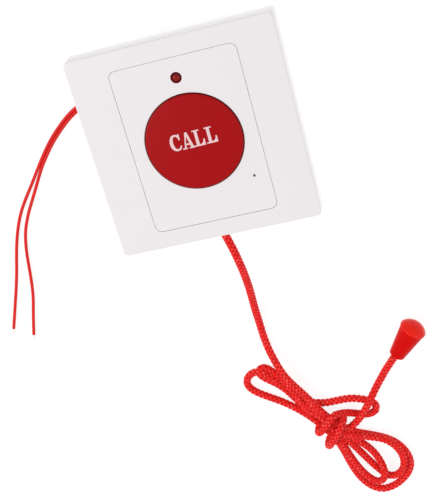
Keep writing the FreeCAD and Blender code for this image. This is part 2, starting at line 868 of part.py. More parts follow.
# A lobe of the hank: the outline around two circles, raised and rounded on top
def make_lobe(ends, height):
    (x1, y1, r1), (x2, y2, r2) = ends
    a, b = Vector(x1, y1, 0), Vector(x2, y2, 0)
    heading = math.atan2(y2 - y1, x2 - x1)
    swing = math.acos((r1 - r2) / (b - a).Length)

    def rim(centre, radius, angle):
        return centre + Vector(radius * math.cos(angle), radius * math.sin(angle), 0)

    left, right = heading + swing, heading - swing
    edges = [
        Part.LineSegment(rim(b, r2, right), rim(a, r1, right)).toShape(),
        Part.Arc(rim(a, r1, right), rim(a, r1, heading + math.pi), rim(a, r1, left)).toShape(),
        Part.LineSegment(rim(a, r1, left), rim(b, r2, left)).toShape(),
        Part.Arc(rim(b, r2, left), rim(b, r2, heading), rim(b, r2, right)).toShape(),
    ]
    solid = Part.Face(Part.Wire(edges)).extrude(Vector(0, 0, height))
    return fillet_at(solid, hank_fillet, lambda box: box.ZMin > height - 0.01)


def make_hank():
    lobes = [make_lobe(upper_lobe, hank_height), make_lobe(lower_lobe, hank_height)]
    return joined(make_lobe(tied_lobe, knot_height), lobes)


def make_stop_knot():
    front = slider_front + slider_front_wall + knot_gap
    knot = along_y(knot_radius, front, front + knot_length, 0, cord_height)
    return fillet_at(knot, knot_radius / 3, lambda b: b.YLength < 0.01)


# Bell-shaped handle, made upright on its axis and then laid on the floor
def bell_place():
    tilt = math.atan((bell_cone_radius - bell_mouth_radius) / bell_cone_length)
    heading = math.radians(bell_heading)
    axis = Vector(math.cos(tilt) * math.cos(heading), math.cos(tilt) * math.sin(heading), math.sin(tilt))
    sag = (bell_radius - bell_cone_radius) + bell_floor_gap
    mouth = Vector(bell_x, bell_y, bell_mouth_radius * math.cos(tilt) + sag)
    return Placement(mouth, Rotation(up, axis))


def make_bell_cone():
    slope = (bell_cone_radius - bell_mouth_radius) / bell_cone_length
    socket_low = bell_cone_length - bell_socket_depth
    inner_mouth = bell_mouth_radius - bell_wall
    inner_top = inner_mouth + slope * socket_low
    profile = [
        (inner_mouth, 0), (bell_mouth_radius - 0.3, 0), (bell_mouth_radius, 0.3),
        (bell_cone_radius, bell_cone_length), (bell_socket_radius, bell_cone_length),
        (bell_socket_radius, socket_low), (inner_top, socket_low),
    ]
    cone = lathe(profile)
    cone.Placement = bell_place()
    return cone


def make_bell_lid():
    rim_top = bell_cone_length + bell_lid_rim
    crown = Vector(0, 0, bell_length)
    rise = bell_length - rim_top
    ball = (bell_radius ** 2 + rise ** 2) / (2 * rise)
    half_turn = math.asin(bell_radius / ball) / 2
    bulge = Vector(ball * math.sin(half_turn), 0, bell_length - ball + ball * math.cos(half_turn))
    spigot_out = bell_socket_radius - bell_spigot_gap
    spigot_in = spigot_out - bell_spigot_wall
    spigot_low = bell_cone_length - bell_socket_depth + bell_spigot_gap
    inner_crown = bell_length - bell_crown_wall
    dome = Part.Arc(Vector(bell_radius, 0, rim_top), bulge, crown).toShape()
    outline = [(0, inner_crown), (spigot_in, rim_top), (spigot_in, spigot_low), (spigot_out, spigot_low),
               (spigot_out, bell_cone_length), (bell_radius, bell_cone_length), (bell_radius, rim_top)]
    corners = [crown] + [Vector(r, 0, z) for r, z in outline]
    edges = [Part.LineSegment(corners[i], corners[i + 1]).toShape() for i in range(len(corners) - 1)]
    lid = Part.Face(Part.Wire(edges + [dome])).revolve(Vector(0, 0, 0), up, 360)
    lid.Placement = bell_place()
    return lid


def make_end_knot():
    knot = Part.makeSphere(end_knot_radius)
    knot.translate(bell_place().multVec(Vector(0, 0, end_knot_place)))
    return knot


# Wires, their bared ends, grommet and connector
def make_wire_tips():
    tips = []
    for points in (wire_a_points, wire_b_points):
        end, before = Vector(*points[-1]), Vector(*points[-2])
        tips.append(Part.makeCylinder(wire_tip_diameter / 2, wire_tip_length, end, end - before))
    return group(tips)


def make_grommet():
    outside = -case_width / 2
    inside = -case_inner_width / 2
    core = along_x(grommet_radius, outside - grommet_flange_thick, inside, wire_exit_y, wire_exit_height)
    flange = along_x(grommet_radius + grommet_flange, outside - grommet_flange_thick, outside,
                     wire_exit_y, wire_exit_height)
    grommet = joined(core, [flange])
    return grommet.cut(along_x(grommet_bore, outside - grommet_flange_thick - 1, inside + 1,
                               wire_exit_y, wire_exit_height))


def make_connector():
    x0 = connector_face_x
    half = connector_length / 2
    return block(x0, x0 + connector_width, wire_exit_y - half, wire_exit_y + half,
                 board_height - connector_drop, board_height)


print("length of the slider", round(slider_back - slider_front, 2))
save("surround_frame", make_surround())
save("front_panel", make_front_panel())
save("rear_case", make_rear_case())
save("inner_chassis", make_chassis())
save("button_cap", make_button_cap())
save("button_spring", make_button_spring())
save("circuit_board", make_board())
save("resistors", make_resistors())
save("board_screws", make_board_screws())
save("case_screws", make_case_screws())
save("push_switch", make_push_switch())
save("push_plunger", make_push_plunger())
save("reset_switch", make_reset_switch())
save("reset_stem", make_reset_stem())
save("led_lens", make_led_lens())
save("led_leads", make_led_leads())
save("pull_slider", make_pull_slider())
save("pull_springs", make_pull_springs())
save("pull_switch", make_pull_switch())
save("pull_switch_plunger", make_pull_switch_plunger())
save("cord_guide", make_cord_guide())
save("stop_knot", make_stop_knot())
save("cord_lead", make_tube("cord_lead", lead_points, cord_diameter))
save("cord_hank", make_hank())
save("cord_bight", make_tube("cord_bight", bight_points, cord_diameter))
save("cord_tail", make_tube("cord_tail", tail_points, cord_diameter))
save("bell_cone", make_bell_cone())
save("bell_lid", make_bell_lid())
save("end_knot", make_end_knot())
save("wire_a", make_tube("wire_a", wire_a_points, wire_diameter))
save("wire_b", make_tube("wire_b", wire_b_points, wire_diameter))
save("wire_tips", make_wire_tips())
save("wire_grommet", make_grommet())
save("wire_connector", make_connector())
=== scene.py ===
import math

import bpy
from mathutils import Matrix, Vector
from mathutils.geometry import tessellate_polygon


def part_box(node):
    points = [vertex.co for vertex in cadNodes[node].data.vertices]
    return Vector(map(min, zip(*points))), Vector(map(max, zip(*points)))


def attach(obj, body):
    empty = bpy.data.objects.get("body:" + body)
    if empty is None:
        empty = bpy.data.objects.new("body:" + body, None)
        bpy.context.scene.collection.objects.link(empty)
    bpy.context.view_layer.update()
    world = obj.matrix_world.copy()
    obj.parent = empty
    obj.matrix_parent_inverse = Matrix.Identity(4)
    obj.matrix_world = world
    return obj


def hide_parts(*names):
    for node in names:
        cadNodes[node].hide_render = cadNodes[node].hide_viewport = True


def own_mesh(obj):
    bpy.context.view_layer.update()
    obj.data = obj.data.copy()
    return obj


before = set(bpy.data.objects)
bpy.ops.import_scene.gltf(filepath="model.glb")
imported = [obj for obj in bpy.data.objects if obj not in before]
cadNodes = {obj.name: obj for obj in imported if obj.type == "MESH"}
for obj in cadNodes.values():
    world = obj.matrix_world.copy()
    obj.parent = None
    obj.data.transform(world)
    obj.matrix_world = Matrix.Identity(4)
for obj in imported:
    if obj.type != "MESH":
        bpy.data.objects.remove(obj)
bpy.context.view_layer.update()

mm = 0.001
fullTurn = 2 * math.pi


def metres(points):
    return [Vector(p) * mm for p in points]


# Small helpers for node trees
def addNode(tree, kind, values=None, **settings):
    node = tree.nodes.new(kind)
    for key, value in settings.items():
        setattr(node, key, value)
    for key, value in (values or {}).items():
        fill(tree, node.inputs[key], value)
    return node


def fill(tree, socket, value):
    if isinstance(value, bpy.types.NodeSocket):
        tree.links.new(value, socket)
    else:
        socket.default_value = value


def mathOf(tree, operation, *values):
    node = addNode(tree, "ShaderNodeMath", operation=operation)
    for socket, value in zip(node.inputs, values):
        fill(tree, socket, value)
    return node.outputs[0]


def mixColour(tree, factor, first, second):
    node = addNode(tree, "ShaderNodeMix", data_type="RGBA")
    fill(tree, node.inputs["Factor"], factor)
    fill(tree, node.inputs[6], first)
    fill(tree, node.inputs[7], second)
    return node.outputs[2]


def spread(tree, value, low, high, newLow, newHigh):
    node = addNode(tree, "ShaderNodeMapRange")
    for socket, part in zip(node.inputs, (value, low, high, newLow, newHigh)):
        fill(tree, socket, part)
    return node.outputs[0]


def newGroup(name, kind, inputs, outputs):
    tree = bpy.data.node_groups.new(name, kind)
    for side, sockets in (("INPUT", inputs), ("OUTPUT", outputs)):
        for label, kindOf, value in sockets:
            socket = tree.interface.new_socket(name=label, in_out=side,
                                               socket_type="NodeSocket" + kindOf)
            if value is not None:
                socket.default_value = value
    return tree, tree.nodes.new("NodeGroupInput"), tree.nodes.new("NodeGroupOutput")


def objectPlace(tree):
    return addNode(tree, "ShaderNodeTexCoord").outputs["Object"]


def noiseOf(tree, place, scale, detail=2.0, roughness=0.5):
    values = {"Vector": place, "Scale": scale, "Detail": detail, "Roughness": roughness}
    return addNode(tree, "ShaderNodeTexNoise", values).outputs[0]


def scaled(tree, vector, factor):
    node = addNode(tree, "ShaderNodeVectorMath", operation="SCALE")
    fill(tree, node.inputs[0], vector)
    fill(tree, node.inputs["Scale"], factor)
    return node.outputs[0]


def bumpOf(tree, height, depth, strength=1.0):
    values = {"Strength": strength, "Distance": depth, "Height": height}
    return addNode(tree, "ShaderNodeBump", values)


def endSkin(tree, end, colour, gloss, normal):
    for label, socket in (("Colour", colour), ("Roughness", gloss), ("Normal", normal)):
        fill(tree, end.inputs[label], socket)
    return tree


skinOutputs = (("Colour", "Color", None), ("Roughness", "Float", None), ("Normal", "Vector", None))


# Moulded skin: soft waves, a fine grain and slow changes of tint and gloss
mouldedLook = {"waveDetail": 1.0, "grainDetail": 3.0, "grainRoughness": 0.6, "grainTint": 0.6,
               "driftScale": 60.0, "driftGloss": 0.1}


def mouldedSkin():
    look = mouldedLook
    tree, start, end = newGroup(
        "mouldedSkin", "ShaderNodeTree",
        (("Colour", "Color", (0.8, 0.8, 0.8, 1)), ("Tint", "Float", 0.03),
         ("Roughness", "Float", 0.4), ("Wave Size", "Float", 0.004),
         ("Wave Depth", "Float", 0.00001), ("Grain Size", "Float", 0.0003),
         ("Grain Depth", "Float", 0.000004)),
        skinOutputs)
    place = objectPlace(tree)
    given = start.outputs
    waveScale = mathOf(tree, "DIVIDE", 1, given["Wave Size"])
    wave = noiseOf(tree, place, waveScale, look["waveDetail"])
    grainScale = mathOf(tree, "DIVIDE", 1, given["Grain Size"])
    grain = noiseOf(tree, place, grainScale, look["grainDetail"], look["grainRoughness"])
    drift = mathOf(tree, "SUBTRACT", noiseOf(tree, place, look["driftScale"]), 0.5)
    shade = mathOf(tree, "MULTIPLY_ADD", drift, given["Tint"], 1.0)
    grainTint = mathOf(tree, "MULTIPLY", given["Tint"], look["grainTint"])
    grainy = mathOf(tree, "MULTIPLY_ADD", mathOf(tree, "SUBTRACT", grain, 0.5), grainTint, shade)
    colour = addNode(tree, "ShaderNodeVectorMath", operation="MULTIPLY")
    both = addNode(tree, "ShaderNodeCombineXYZ", {"X": grainy, "Y": grainy, "Z": grainy})
    fill(tree, colour.inputs[0], given["Colour"])
    fill(tree, colour.inputs[1], both.outputs[0])
    gloss = mathOf(tree, "MULTIPLY_ADD", drift, look["driftGloss"], given["Roughness"])
    first = bumpOf(tree, wave, given["Wave Depth"])
    second = bumpOf(tree, grain, given["Grain Depth"])
    fill(tree, second.inputs["Normal"], first.outputs[0])
    return endSkin(tree, end, colour.outputs[0], gloss, second.outputs[0])


# Metal skin: fine drawn or plated streaks in colour, gloss and height
metalLook = {"fineDetail": 4.0, "fineRoughness": 0.65, "broadScale": 220.0,
             "light": (0.3, 0.7, 0.85, 1.08), "glossSwing": 0.3}


def metalSkin():
    look = metalLook
    tree, start, end = newGroup(
        "metalSkin", "ShaderNodeTree",
        (("Colour", "Color", (0.6, 0.6, 0.6, 1)), ("Roughness", "Float", 0.3),
         ("Size", "Float", 0.0006), ("Depth", "Float", 0.000003)),
        skinOutputs)
    place = objectPlace(tree)
    given = start.outputs
    fineScale = mathOf(tree, "DIVIDE", 1, given["Size"])
    fine = noiseOf(tree, place, fineScale, look["fineDetail"], look["fineRoughness"])
    light = spread(tree, noiseOf(tree, place, look["broadScale"]), *look["light"])
    gloss = mathOf(tree, "MULTIPLY_ADD", mathOf(tree, "SUBTRACT", fine, 0.5),
                   look["glossSwing"], given["Roughness"])
    bump = bumpOf(tree, fine, given["Depth"])
    return endSkin(tree, end, scaled(tree, given["Colour"], light), gloss, bump.outputs[0])


# Braid skin: painted shade between the yarns, filaments that follow each yarn, specks of random
# tone and painted glints.
# Each range is the low and high of what comes in, then of what goes out.
braidLook = {
    "wanderScale": 900.0, "wander": 5.0,
    "paintedGrooveShade": (0.3, 0.8, 0.0, 1.0), "threadTint": (0.0, 1.0, 0.86, 1.0),
    "speckScale": 420.0, "speckDetail": 3.0, "speck": (0.35, 0.65, 0.88, 1.04),
    "glintPaintScale": 650.0, "glintPaint": (0.5, 0.68, 0.0, 0.9),
    "bump": 0.6, "threadGloss": -0.08,
}


def braidSkin():
    look = braidLook
    tree, start, end = newGroup(
        "braidSkin", "ShaderNodeTree",
        (("Crest", "Color", (0.8, 0.03, 0.03, 1)), ("Painted Groove Shade", "Color", (0.3, 0.005, 0.005, 1)),
         ("Bright", "Color", (0.9, 0.12, 0.11, 1)),
         ("Roughness", "Float", 0.6), ("Yarns", "Float", 4.0), ("Lay", "Float", 0.0086),
         ("Filaments", "Float", 5.0), ("Depth", "Float", 0.00005)),
        skinOutputs)
    given = start.outputs
    braidPlace = addNode(tree, "ShaderNodeAttribute", attribute_name="braidPlace").outputs["Vector"]
    height = addNode(tree, "ShaderNodeAttribute", attribute_name="yarnHeight").outputs["Fac"]
    side = addNode(tree, "ShaderNodeAttribute", attribute_name="yarnSide").outputs["Fac"]
    parts = addNode(tree, "ShaderNodeSeparateXYZ", {"Vector": braidPlace}).outputs
    around = mathOf(tree, "DIVIDE", mathOf(tree, "ARCTAN2", parts["Y"], parts["X"]), fullTurn)
    along = mathOf(tree, "DIVIDE", parts["Z"], given["Lay"])
    one = mathOf(tree, "MULTIPLY", mathOf(tree, "SUBTRACT", around, along), given["Yarns"])
    two = mathOf(tree, "MULTIPLY", mathOf(tree, "ADD", around, along), given["Yarns"])
    across = mathOf(tree, "ADD",
                    mathOf(tree, "MULTIPLY", one, mathOf(tree, "SUBTRACT", 1.0, side)),
                    mathOf(tree, "MULTIPLY", two, side))
    place = objectPlace(tree)
    wander = noiseOf(tree, place, look["wanderScale"])
    phase = mathOf(tree, "MULTIPLY", mathOf(tree, "MULTIPLY", across, given["Filaments"]), fullTurn)
    ridge = mathOf(tree, "SINE", mathOf(tree, "MULTIPLY_ADD", wander, look["wander"], phase))
    thread = spread(tree, ridge, -1.0, 1.0, 0.0, 1.0)
    # painted shade: the colour darkens towards the groove colour where the yarns dip
    paintedGrooveShade = mathOf(tree, "MULTIPLY", spread(tree, height, *look["paintedGrooveShade"]),
                  spread(tree, thread, *look["threadTint"]))
    speckNoise = noiseOf(tree, place, look["speckScale"], look["speckDetail"])
    speck = spread(tree, speckNoise, *look["speck"])
    # painted glints: lighter red specks on the crests
    glintPaint = spread(tree, noiseOf(tree, place, look["glintPaintScale"]), *look["glintPaint"])
    lit = mathOf(tree, "MULTIPLY", paintedGrooveShade, glintPaint)
    crest = mixColour(tree, lit, given["Crest"], given["Bright"])
    colour = scaled(tree, mixColour(tree, paintedGrooveShade, given["Painted Groove Shade"], crest), speck)
    gloss = mathOf(tree, "MULTIPLY_ADD", thread, look["threadGloss"], given["Roughness"])
    bump = bumpOf(tree, thread, given["Depth"], look["bump"])
    return endSkin(tree, end, colour, gloss, bump.outputs[0])


groups = {"moulded": mouldedSkin(), "metal": metalSkin(), "braid": braidSkin()}


def skinMaterial(name, group, skin, surface=None):
    material = bpy.data.materials.new(name)
    material.use_nodes = True
    tree = material.node_tree
    shader = tree.nodes["Principled BSDF"]
    node = addNode(tree, "ShaderNodeGroup")
    node.node_tree = groups[group]
    for key, value in skin.items():
        node.inputs[key].default_value = value
    fill(tree, shader.inputs["Base Color"], node.outputs["Colour"])
    fill(tree, shader.inputs["Roughness"], node.outputs["Roughness"])
    fill(tree, shader.inputs["Normal"], node.outputs["Normal"])
    for key, value in (surface or {}).items():
        shader.inputs[key].default_value = value
    return material


def colourOf(red, green, blue):
    return (red, green, blue, 1.0)


# The looks of the materials, one entry for each slot of the record: skin, its values, surface
looks = {
    "white_gloss": ("moulded", {
        "Colour": colourOf(0.79, 0.755, 0.765), "Tint": 0.012, "Roughness": 0.3,
        "Wave Size": 0.006, "Wave Depth": 0.000012, "Grain Size": 0.0004, "Grain Depth": 0.000002,
    }, {"Specular IOR Level": 0.4}),
    "white_case": ("moulded", {
        "Colour": colourOf(0.78, 0.76, 0.74), "Tint": 0.03, "Roughness": 0.5,
        "Grain Size": 0.0003, "Grain Depth": 0.00002,
    }, {"Specular IOR Level": 0.35}),
    "natural_plastic": ("moulded", {
        "Colour": colourOf(0.72, 0.70, 0.63), "Tint": 0.04, "Roughness": 0.42,
    }, {"Subsurface Weight": 0.15, "Subsurface Scale": 0.001}),
    "red_button": ("moulded", {
        "Colour": colourOf(0.357, 0.004, 0.006), "Tint": 0.05, "Roughness": 0.36,
        "Wave Size": 0.005, "Wave Depth": 0.00001, "Grain Size": 0.00025, "Grain Depth": 0.000004,
    }, {"Specular IOR Level": 0.08}),
    "spring_steel": ("metal", {
        "Colour": colourOf(0.55, 0.55, 0.57), "Roughness": 0.28,
    }, {"Metallic": 1.0}),
    "board_green": ("moulded", {
        "Colour": colourOf(0.012, 0.11, 0.035), "Tint": 0.25, "Roughness": 0.35,
        "Wave Size": 0.003, "Wave Depth": 0.00003,
    }, {}),
    "resistor_tan": ("moulded", {
        "Colour": colourOf(0.55, 0.40, 0.22), "Tint": 0.1, "Roughness": 0.45,
    }, {}),
    "screw_zinc": ("metal", {
        "Colour": colourOf(0.68, 0.68, 0.64), "Roughness": 0.34,
    }, {"Metallic": 1.0}),
    "switch_black": ("moulded", {
        "Colour": colourOf(0.018, 0.018, 0.02), "Tint": 0.2, "Roughness": 0.42,
    }, {}),
    "plunger_white": ("moulded", {
        "Colour": colourOf(0.76, 0.75, 0.71), "Tint": 0.03, "Roughness": 0.4,
    }, {}),
    "tinned_metal": ("metal", {
        "Colour": colourOf(0.84, 0.81, 0.79), "Roughness": 0.38, "Size": 0.0003,
    }, {"Metallic": 1.0}),
    "red_bell": ("moulded", {
        "Colour": colourOf(0.62, 0.003, 0.002), "Tint": 0.06, "Roughness": 0.38,
        "Wave Size": 0.003, "Wave Depth": 0.000012, "Grain Size": 0.00025, "Grain Depth": 0.00001,
    }, {"Specular IOR Level": 0.05}),
    "red_insulation": ("moulded", {
        "Colour": colourOf(0.70, 0.017, 0.014), "Tint": 0.08, "Roughness": 0.45,
        "Wave Size": 0.002, "Wave Depth": 0.00002,
    }, {"Specular IOR Level": 0.15}),
    "grommet_black": ("moulded", {
        "Colour": colourOf(0.02, 0.02, 0.02), "Tint": 0.2, "Roughness": 0.6, "Grain Depth": 0.00001,
    }, {}),
    "red_cord": ("braid", {
        "Crest": colourOf(1.0, 0.030, 0.026), "Painted Groove Shade": colourOf(0.62, 0.0, 0.0),
        "Bright": colourOf(1.0, 0.16, 0.148), "Roughness": 0.6,
    }, {"Specular IOR Level": 0.12, "Sheen Weight": 0.02, "Sheen Roughness": 0.5}),
}
materials = {slot: skinMaterial(slot + "Look", *look) for slot, look in looks.items()}

# The lid: a lighter copy of the cone's red, as painted light for the light its dome catches, and
# glossier
lidLitSkin = {**looks["red_bell"][1], "Colour": colourOf(0.78, 0.008, 0.0), "Roughness": 0.28}
lidLitLook = ("moulded", lidLitSkin, {"Specular IOR Level": 0.22})


def boxMiddle(node):
    low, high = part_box(node)
    return (low + high) / 2


# Distance in plan from a point
def reachFrom(tree, middle):
    away = addNode(tree, "ShaderNodeVectorMath", operation="SUBTRACT")
    fill(tree, away.inputs[0], objectPlace(tree))
    away.inputs[1].default_value = middle
    flat = addNode(tree, "ShaderNodeVectorMath", operation="MULTIPLY")
    fill(tree, flat.inputs[0], away.outputs[0])
    flat.inputs[1].default_value = (1, 1, 0)
    reach = addNode(tree, "ShaderNodeVectorMath", operation="LENGTH")
    fill(tree, reach.inputs[0], flat.outputs[0])
    return reach.outputs["Value"]


# Lamp lens: tinted resin, with painted shade darkening it where its wall is seen and a painted
# lighter centre standing in for the light from the cup inside
def lensMaterial():
    lens = {"cup": 1.0 * mm, "rim": 1.8 * mm, "paintedLitCentre": colourOf(0.25, 0.007, 0.003),
            "paintedShadedRim": colourOf(0.055, 0.004, 0.005)}
    surface = {"Specular IOR Level": 0.12, "Coat Weight": 0.05, "Coat Roughness": 0.08}
    material = skinMaterial("redLensLook", "moulded", {"Tint": 0.05, "Roughness": 0.22}, surface)
    tree = material.node_tree
    # painted shade towards the rim, painted light in the centre
    edge = spread(tree, reachFrom(tree, boxMiddle("led_lens")), lens["cup"], lens["rim"], 0.0, 1.0)
    shader = tree.nodes["Principled BSDF"]
    fill(tree, shader.inputs["Base Color"], mixColour(tree, edge, lens["paintedLitCentre"], lens["paintedShadedRim"]))
    return material


# Button: the shared red, with painted shade darkening it on the rounded rim
def buttonMaterial():
    rim = {"start": 19.5 * mm, "end": 20.05 * mm, "paintedTone": colourOf(0.10, 0.003, 0.004)}
    material = skinMaterial("redButtonLook", *looks["red_button"])
    tree = material.node_tree
    shader = tree.nodes["Principled BSDF"]
    # painted shade: the red darkens towards the rim
    edge = spread(tree, reachFrom(tree, (0, 0, 0)), rim["start"], rim["end"], 0.0, 1.0)
    face = shader.inputs["Base Color"].links[0].from_socket
    fill(tree, shader.inputs["Base Color"], mixColour(tree, edge, face, rim["paintedTone"]))
    return material


# 1 where a value lies less than half away from zero, either way
def within(tree, value, half):
    return mathOf(tree, "LESS_THAN", mathOf(tree, "ABSOLUTE", value), half)


# Front panel: the plate's white, with painted shade (a touch of grey) inside the openings below the
# face, and a painted red glow of the lamp on the walls of its opening
def panelMaterial():
    recess = {"halfWidth": 25.4 * mm, "halfLength": 34.4 * mm, "deep": 31.85 * mm,
              "face": 31.98 * mm, "shade": 0.9, "ring": colourOf(0.8, 0.03, 0.035),
              "lampReach": 2.7 * mm}
    material = skinMaterial("panelWhiteLook", *looks["white_gloss"])
    tree = material.node_tree
    shader = tree.nodes["Principled BSDF"]
    place = objectPlace(tree)
    parts = addNode(tree, "ShaderNodeSeparateXYZ", {"Vector": place}).outputs
    inside = mathOf(tree, "MULTIPLY", within(tree, parts["X"], recess["halfWidth"]),
                    within(tree, parts["Y"], recess["halfLength"]))
    # painted shade inside the openings below the face, and a painted red glow on the walls near the
    # lamp
    below = mathOf(tree, "MULTIPLY", inside,
                   spread(tree, parts["Z"], recess["deep"], recess["face"], 1.0, 0.0))
    lampReach = reachFrom(tree, boxMiddle("led_lens"))
    byLamp = mathOf(tree, "LESS_THAN", lampReach, recess["lampReach"])
    white = shader.inputs["Base Color"].links[0].from_socket
    paintedShadeAndGlow = mixColour(tree, byLamp, scaled(tree, white, recess["shade"]), recess["ring"])
    fill(tree, shader.inputs["Base Color"], mixColour(tree, below, white, paintedShadeAndGlow))
    return material


# Surround: the same white, with painted light making it paler down its outer wall towards the foot
def surroundMaterial():
    wall = {"foot": 21.5 * mm, "top": 30.5 * mm, "paintedTone": colourOf(0.95, 0.93, 0.935)}
    material = skinMaterial("surroundWhiteLook", *looks["white_gloss"])
    tree = material.node_tree
    shader = tree.nodes["Principled BSDF"]
    height = addNode(tree, "ShaderNodeSeparateXYZ", {"Vector": objectPlace(tree)}).outputs["Z"]
    # painted light: the wall turns paler towards its foot
    low = spread(tree, height, wall["foot"], wall["top"], 1.0, 0.0)
    white = shader.inputs["Base Color"].links[0].from_socket
    fill(tree, shader.inputs["Base Color"], mixColour(tree, low, white, wall["paintedTone"]))
    return material


materials["red_lens"] = lensMaterial()
materials["red_button"] = buttonMaterial()
panelWhite = panelMaterial()
surroundWhite = surroundMaterial()

# The slot of every CAD node
nodeSlots = {
    "white_gloss": ("surround_frame", "front_panel", "cord_guide"),
    "white_case": ("rear_case",),
    "natural_plastic": ("inner_chassis", "pull_slider"),
    "red_button": ("button_cap",),
    "spring_steel": ("button_spring", "pull_springs"),
    "board_green": ("circuit_board",),
    "resistor_tan": ("resistors",),
    "screw_zinc": ("board_screws", "case_screws"),
    "switch_black": ("push_switch", "reset_switch", "pull_switch"),
    "plunger_white": ("push_plunger", "reset_stem", "pull_switch_plunger", "wire_connector"),
    "red_lens": ("led_lens",),
    "tinned_metal": ("led_leads", "wire_tips"),
    "red_cord": ("stop_knot", "cord_lead", "cord_hank", "cord_bight", "cord_tail", "end_knot"),
    "red_bell": ("bell_cone", "bell_lid"),
    "red_insulation": ("wire_a", "wire_b"),
    "grommet_black": ("wire_grommet",),
}
for slot, names in nodeSlots.items():
    for name in names:
        for part in cadNodes[name].material_slots:
            part.link = "OBJECT"
            part.material = materials[slot]
cadNodes["front_panel"].material_slots[0].material = panelWhite
cadNodes["surround_frame"].material_slots[0].material = surroundWhite
# the lid's lighter red is painted light
cadNodes["bell_lid"].material_slots[0].material = skinMaterial("bellLidLook", *lidLitLook)
print("materials set on", len(cadNodes), "nodes")


# Length or factor along a spline, kept on its points under a label
def keepOn(tree, shape, label, output):
    keep = addNode(tree, "GeometryNodeCaptureAttribute", domain="POINT")
    keep.capture_items.new("FLOAT", label)
    fill(tree, keep.inputs["Geometry"], shape)
    fill(tree, keep.inputs[label], addNode(tree, "GeometryNodeSplineParameter").outputs[output])
    return keep.outputs


# The path cut into equal steps, and the round section that is drawn along it
def ringsAndCircle(tree, given):
    line = addNode(tree, "GeometryNodeMeshToCurve", {"Mesh": given["Path"]})
    rings = addNode(tree, "GeometryNodeResampleCurve", {"Curve": line.outputs[0]}, mode="LENGTH")
    fill(tree, rings.inputs["Length"], given["Step"])
    circle = addNode(tree, "GeometryNodeCurvePrimitiveCircle",
                     {"Resolution": given["Sides"], "Radius": given["Radius"]})
    return rings.outputs[0], circle.outputs[0]


def tubeOf(tree, path, section):
    values = {"Curve": path, "Profile Curve": section, "Fill Caps": True}
    return addNode(tree, "GeometryNodeCurveToMesh", values).outputs[0]


def closeTree(tree, shape, material, end):
    smooth = addNode(tree, "GeometryNodeSetShadeSmooth", {"Geometry": shape, "Shade Smooth": True})
    real = addNode(tree, "GeometryNodeRealizeInstances", {"Geometry": smooth.outputs[0]})
    dressed = addNode(tree, "GeometryNodeSetMaterial",
                      {"Geometry": real.outputs[0], "Material": material})
    fill(tree, end.inputs["Geometry"], dressed.outputs[0])
    return tree


# Braid along a path: two sets of yarns wound opposite ways that pass over and under each other
weaveForm = {"flat": 0.62, "over": 0.38}  # together 1: a yarn on top has the full radius


def braidTree():
    tree, start, end = newGroup(
        "braidAlongPath", "GeometryNodeTree",
        (("Path", "Geometry", None), ("Radius", "Float", 0.0017), ("Yarns", "Float", 4.0),
         ("Lay", "Float", 0.0086), ("Relief", "Float", 0.0005), ("Step", "Float", 0.00034),
         ("Sides", "Int", 24), ("Material", "Material", None)),
        (("Geometry", "Geometry", None),))
    given = start.outputs
    rings, circle = ringsAndCircle(tree, given)
    line = keepOn(tree, rings, "along", "Length")
    section = keepOn(tree, circle, "around", "Factor")
    tube = tubeOf(tree, line["Geometry"], section["Geometry"])
    turn = mathOf(tree, "MULTIPLY", section["around"], fullTurn)
    lays = mathOf(tree, "DIVIDE", line["along"], given["Lay"])
    advance = mathOf(tree, "MULTIPLY", lays, fullTurn)
    heights = []
    for operation in ("SUBTRACT", "ADD"):
        phase = mathOf(tree, "MULTIPLY", mathOf(tree, operation, turn, advance), given["Yarns"])
        heights.append(mathOf(tree, "COSINE", mathOf(tree, "MULTIPLY", phase, 0.5)))
    weave = mathOf(tree, "MULTIPLY", *heights)
    heights = [mathOf(tree, "ABSOLUTE", height) for height in heights]
    rises = [mathOf(tree, "MULTIPLY_ADD", weave, over, weaveForm["flat"])
             for over in (weaveForm["over"], -weaveForm["over"])]
    lifted = [mathOf(tree, "MULTIPLY", height, rise) for height, rise in zip(heights, rises)]
    crest = mathOf(tree, "MAXIMUM", *lifted)
    side = mathOf(tree, "GREATER_THAN", lifted[1], lifted[0])
    reach = mathOf(tree, "MULTIPLY", mathOf(tree, "SUBTRACT", crest, 1.0), given["Relief"])
    push = scaled(tree, addNode(tree, "GeometryNodeInputNormal").outputs[0], reach)
    moved = addNode(tree, "GeometryNodeSetPosition", {"Geometry": tube, "Offset": push})
    spot = addNode(tree, "ShaderNodeCombineXYZ",
                   {"X": mathOf(tree, "COSINE", turn), "Y": mathOf(tree, "SINE", turn),
                    "Z": line["along"]})
    last = moved.outputs[0]
    for label, kindOf, value in (("yarnHeight", "FLOAT", crest), ("yarnSide", "FLOAT", side),
                                 ("braidPlace", "FLOAT_VECTOR", spot.outputs[0])):
        store = addNode(tree, "GeometryNodeStoreNamedAttribute", {"Geometry": last, "Name": label},
                        data_type=kindOf, domain="POINT")
        fill(tree, store.inputs["Value"], value)
        last = store.outputs[0]
    return closeTree(tree, last, given["Material"], end)


# Plain round sheath along a path
def sheathTree():
    tree, start, end = newGroup(
        "sheathAlongPath", "GeometryNodeTree",
        (("Path", "Geometry", None), ("Radius", "Float", 0.0007), ("Step", "Float", 0.0008),
         ("Sides", "Int", 20), ("Material", "Material", None)),
        (("Geometry", "Geometry", None),))
    given = start.outputs
    return closeTree(tree, tubeOf(tree, *ringsAndCircle(tree, given)), given["Material"], end)


trees = {"braid": braidTree(), "sheath": sheathTree()}
print("material and shape trees made")

closest = 0.01 * mm  # points of a line that lie nearer than this are one


def placed(name, data):
    piece = bpy.data.objects.new(name, data)
    bpy.context.scene.collection.objects.link(piece)
    return piece


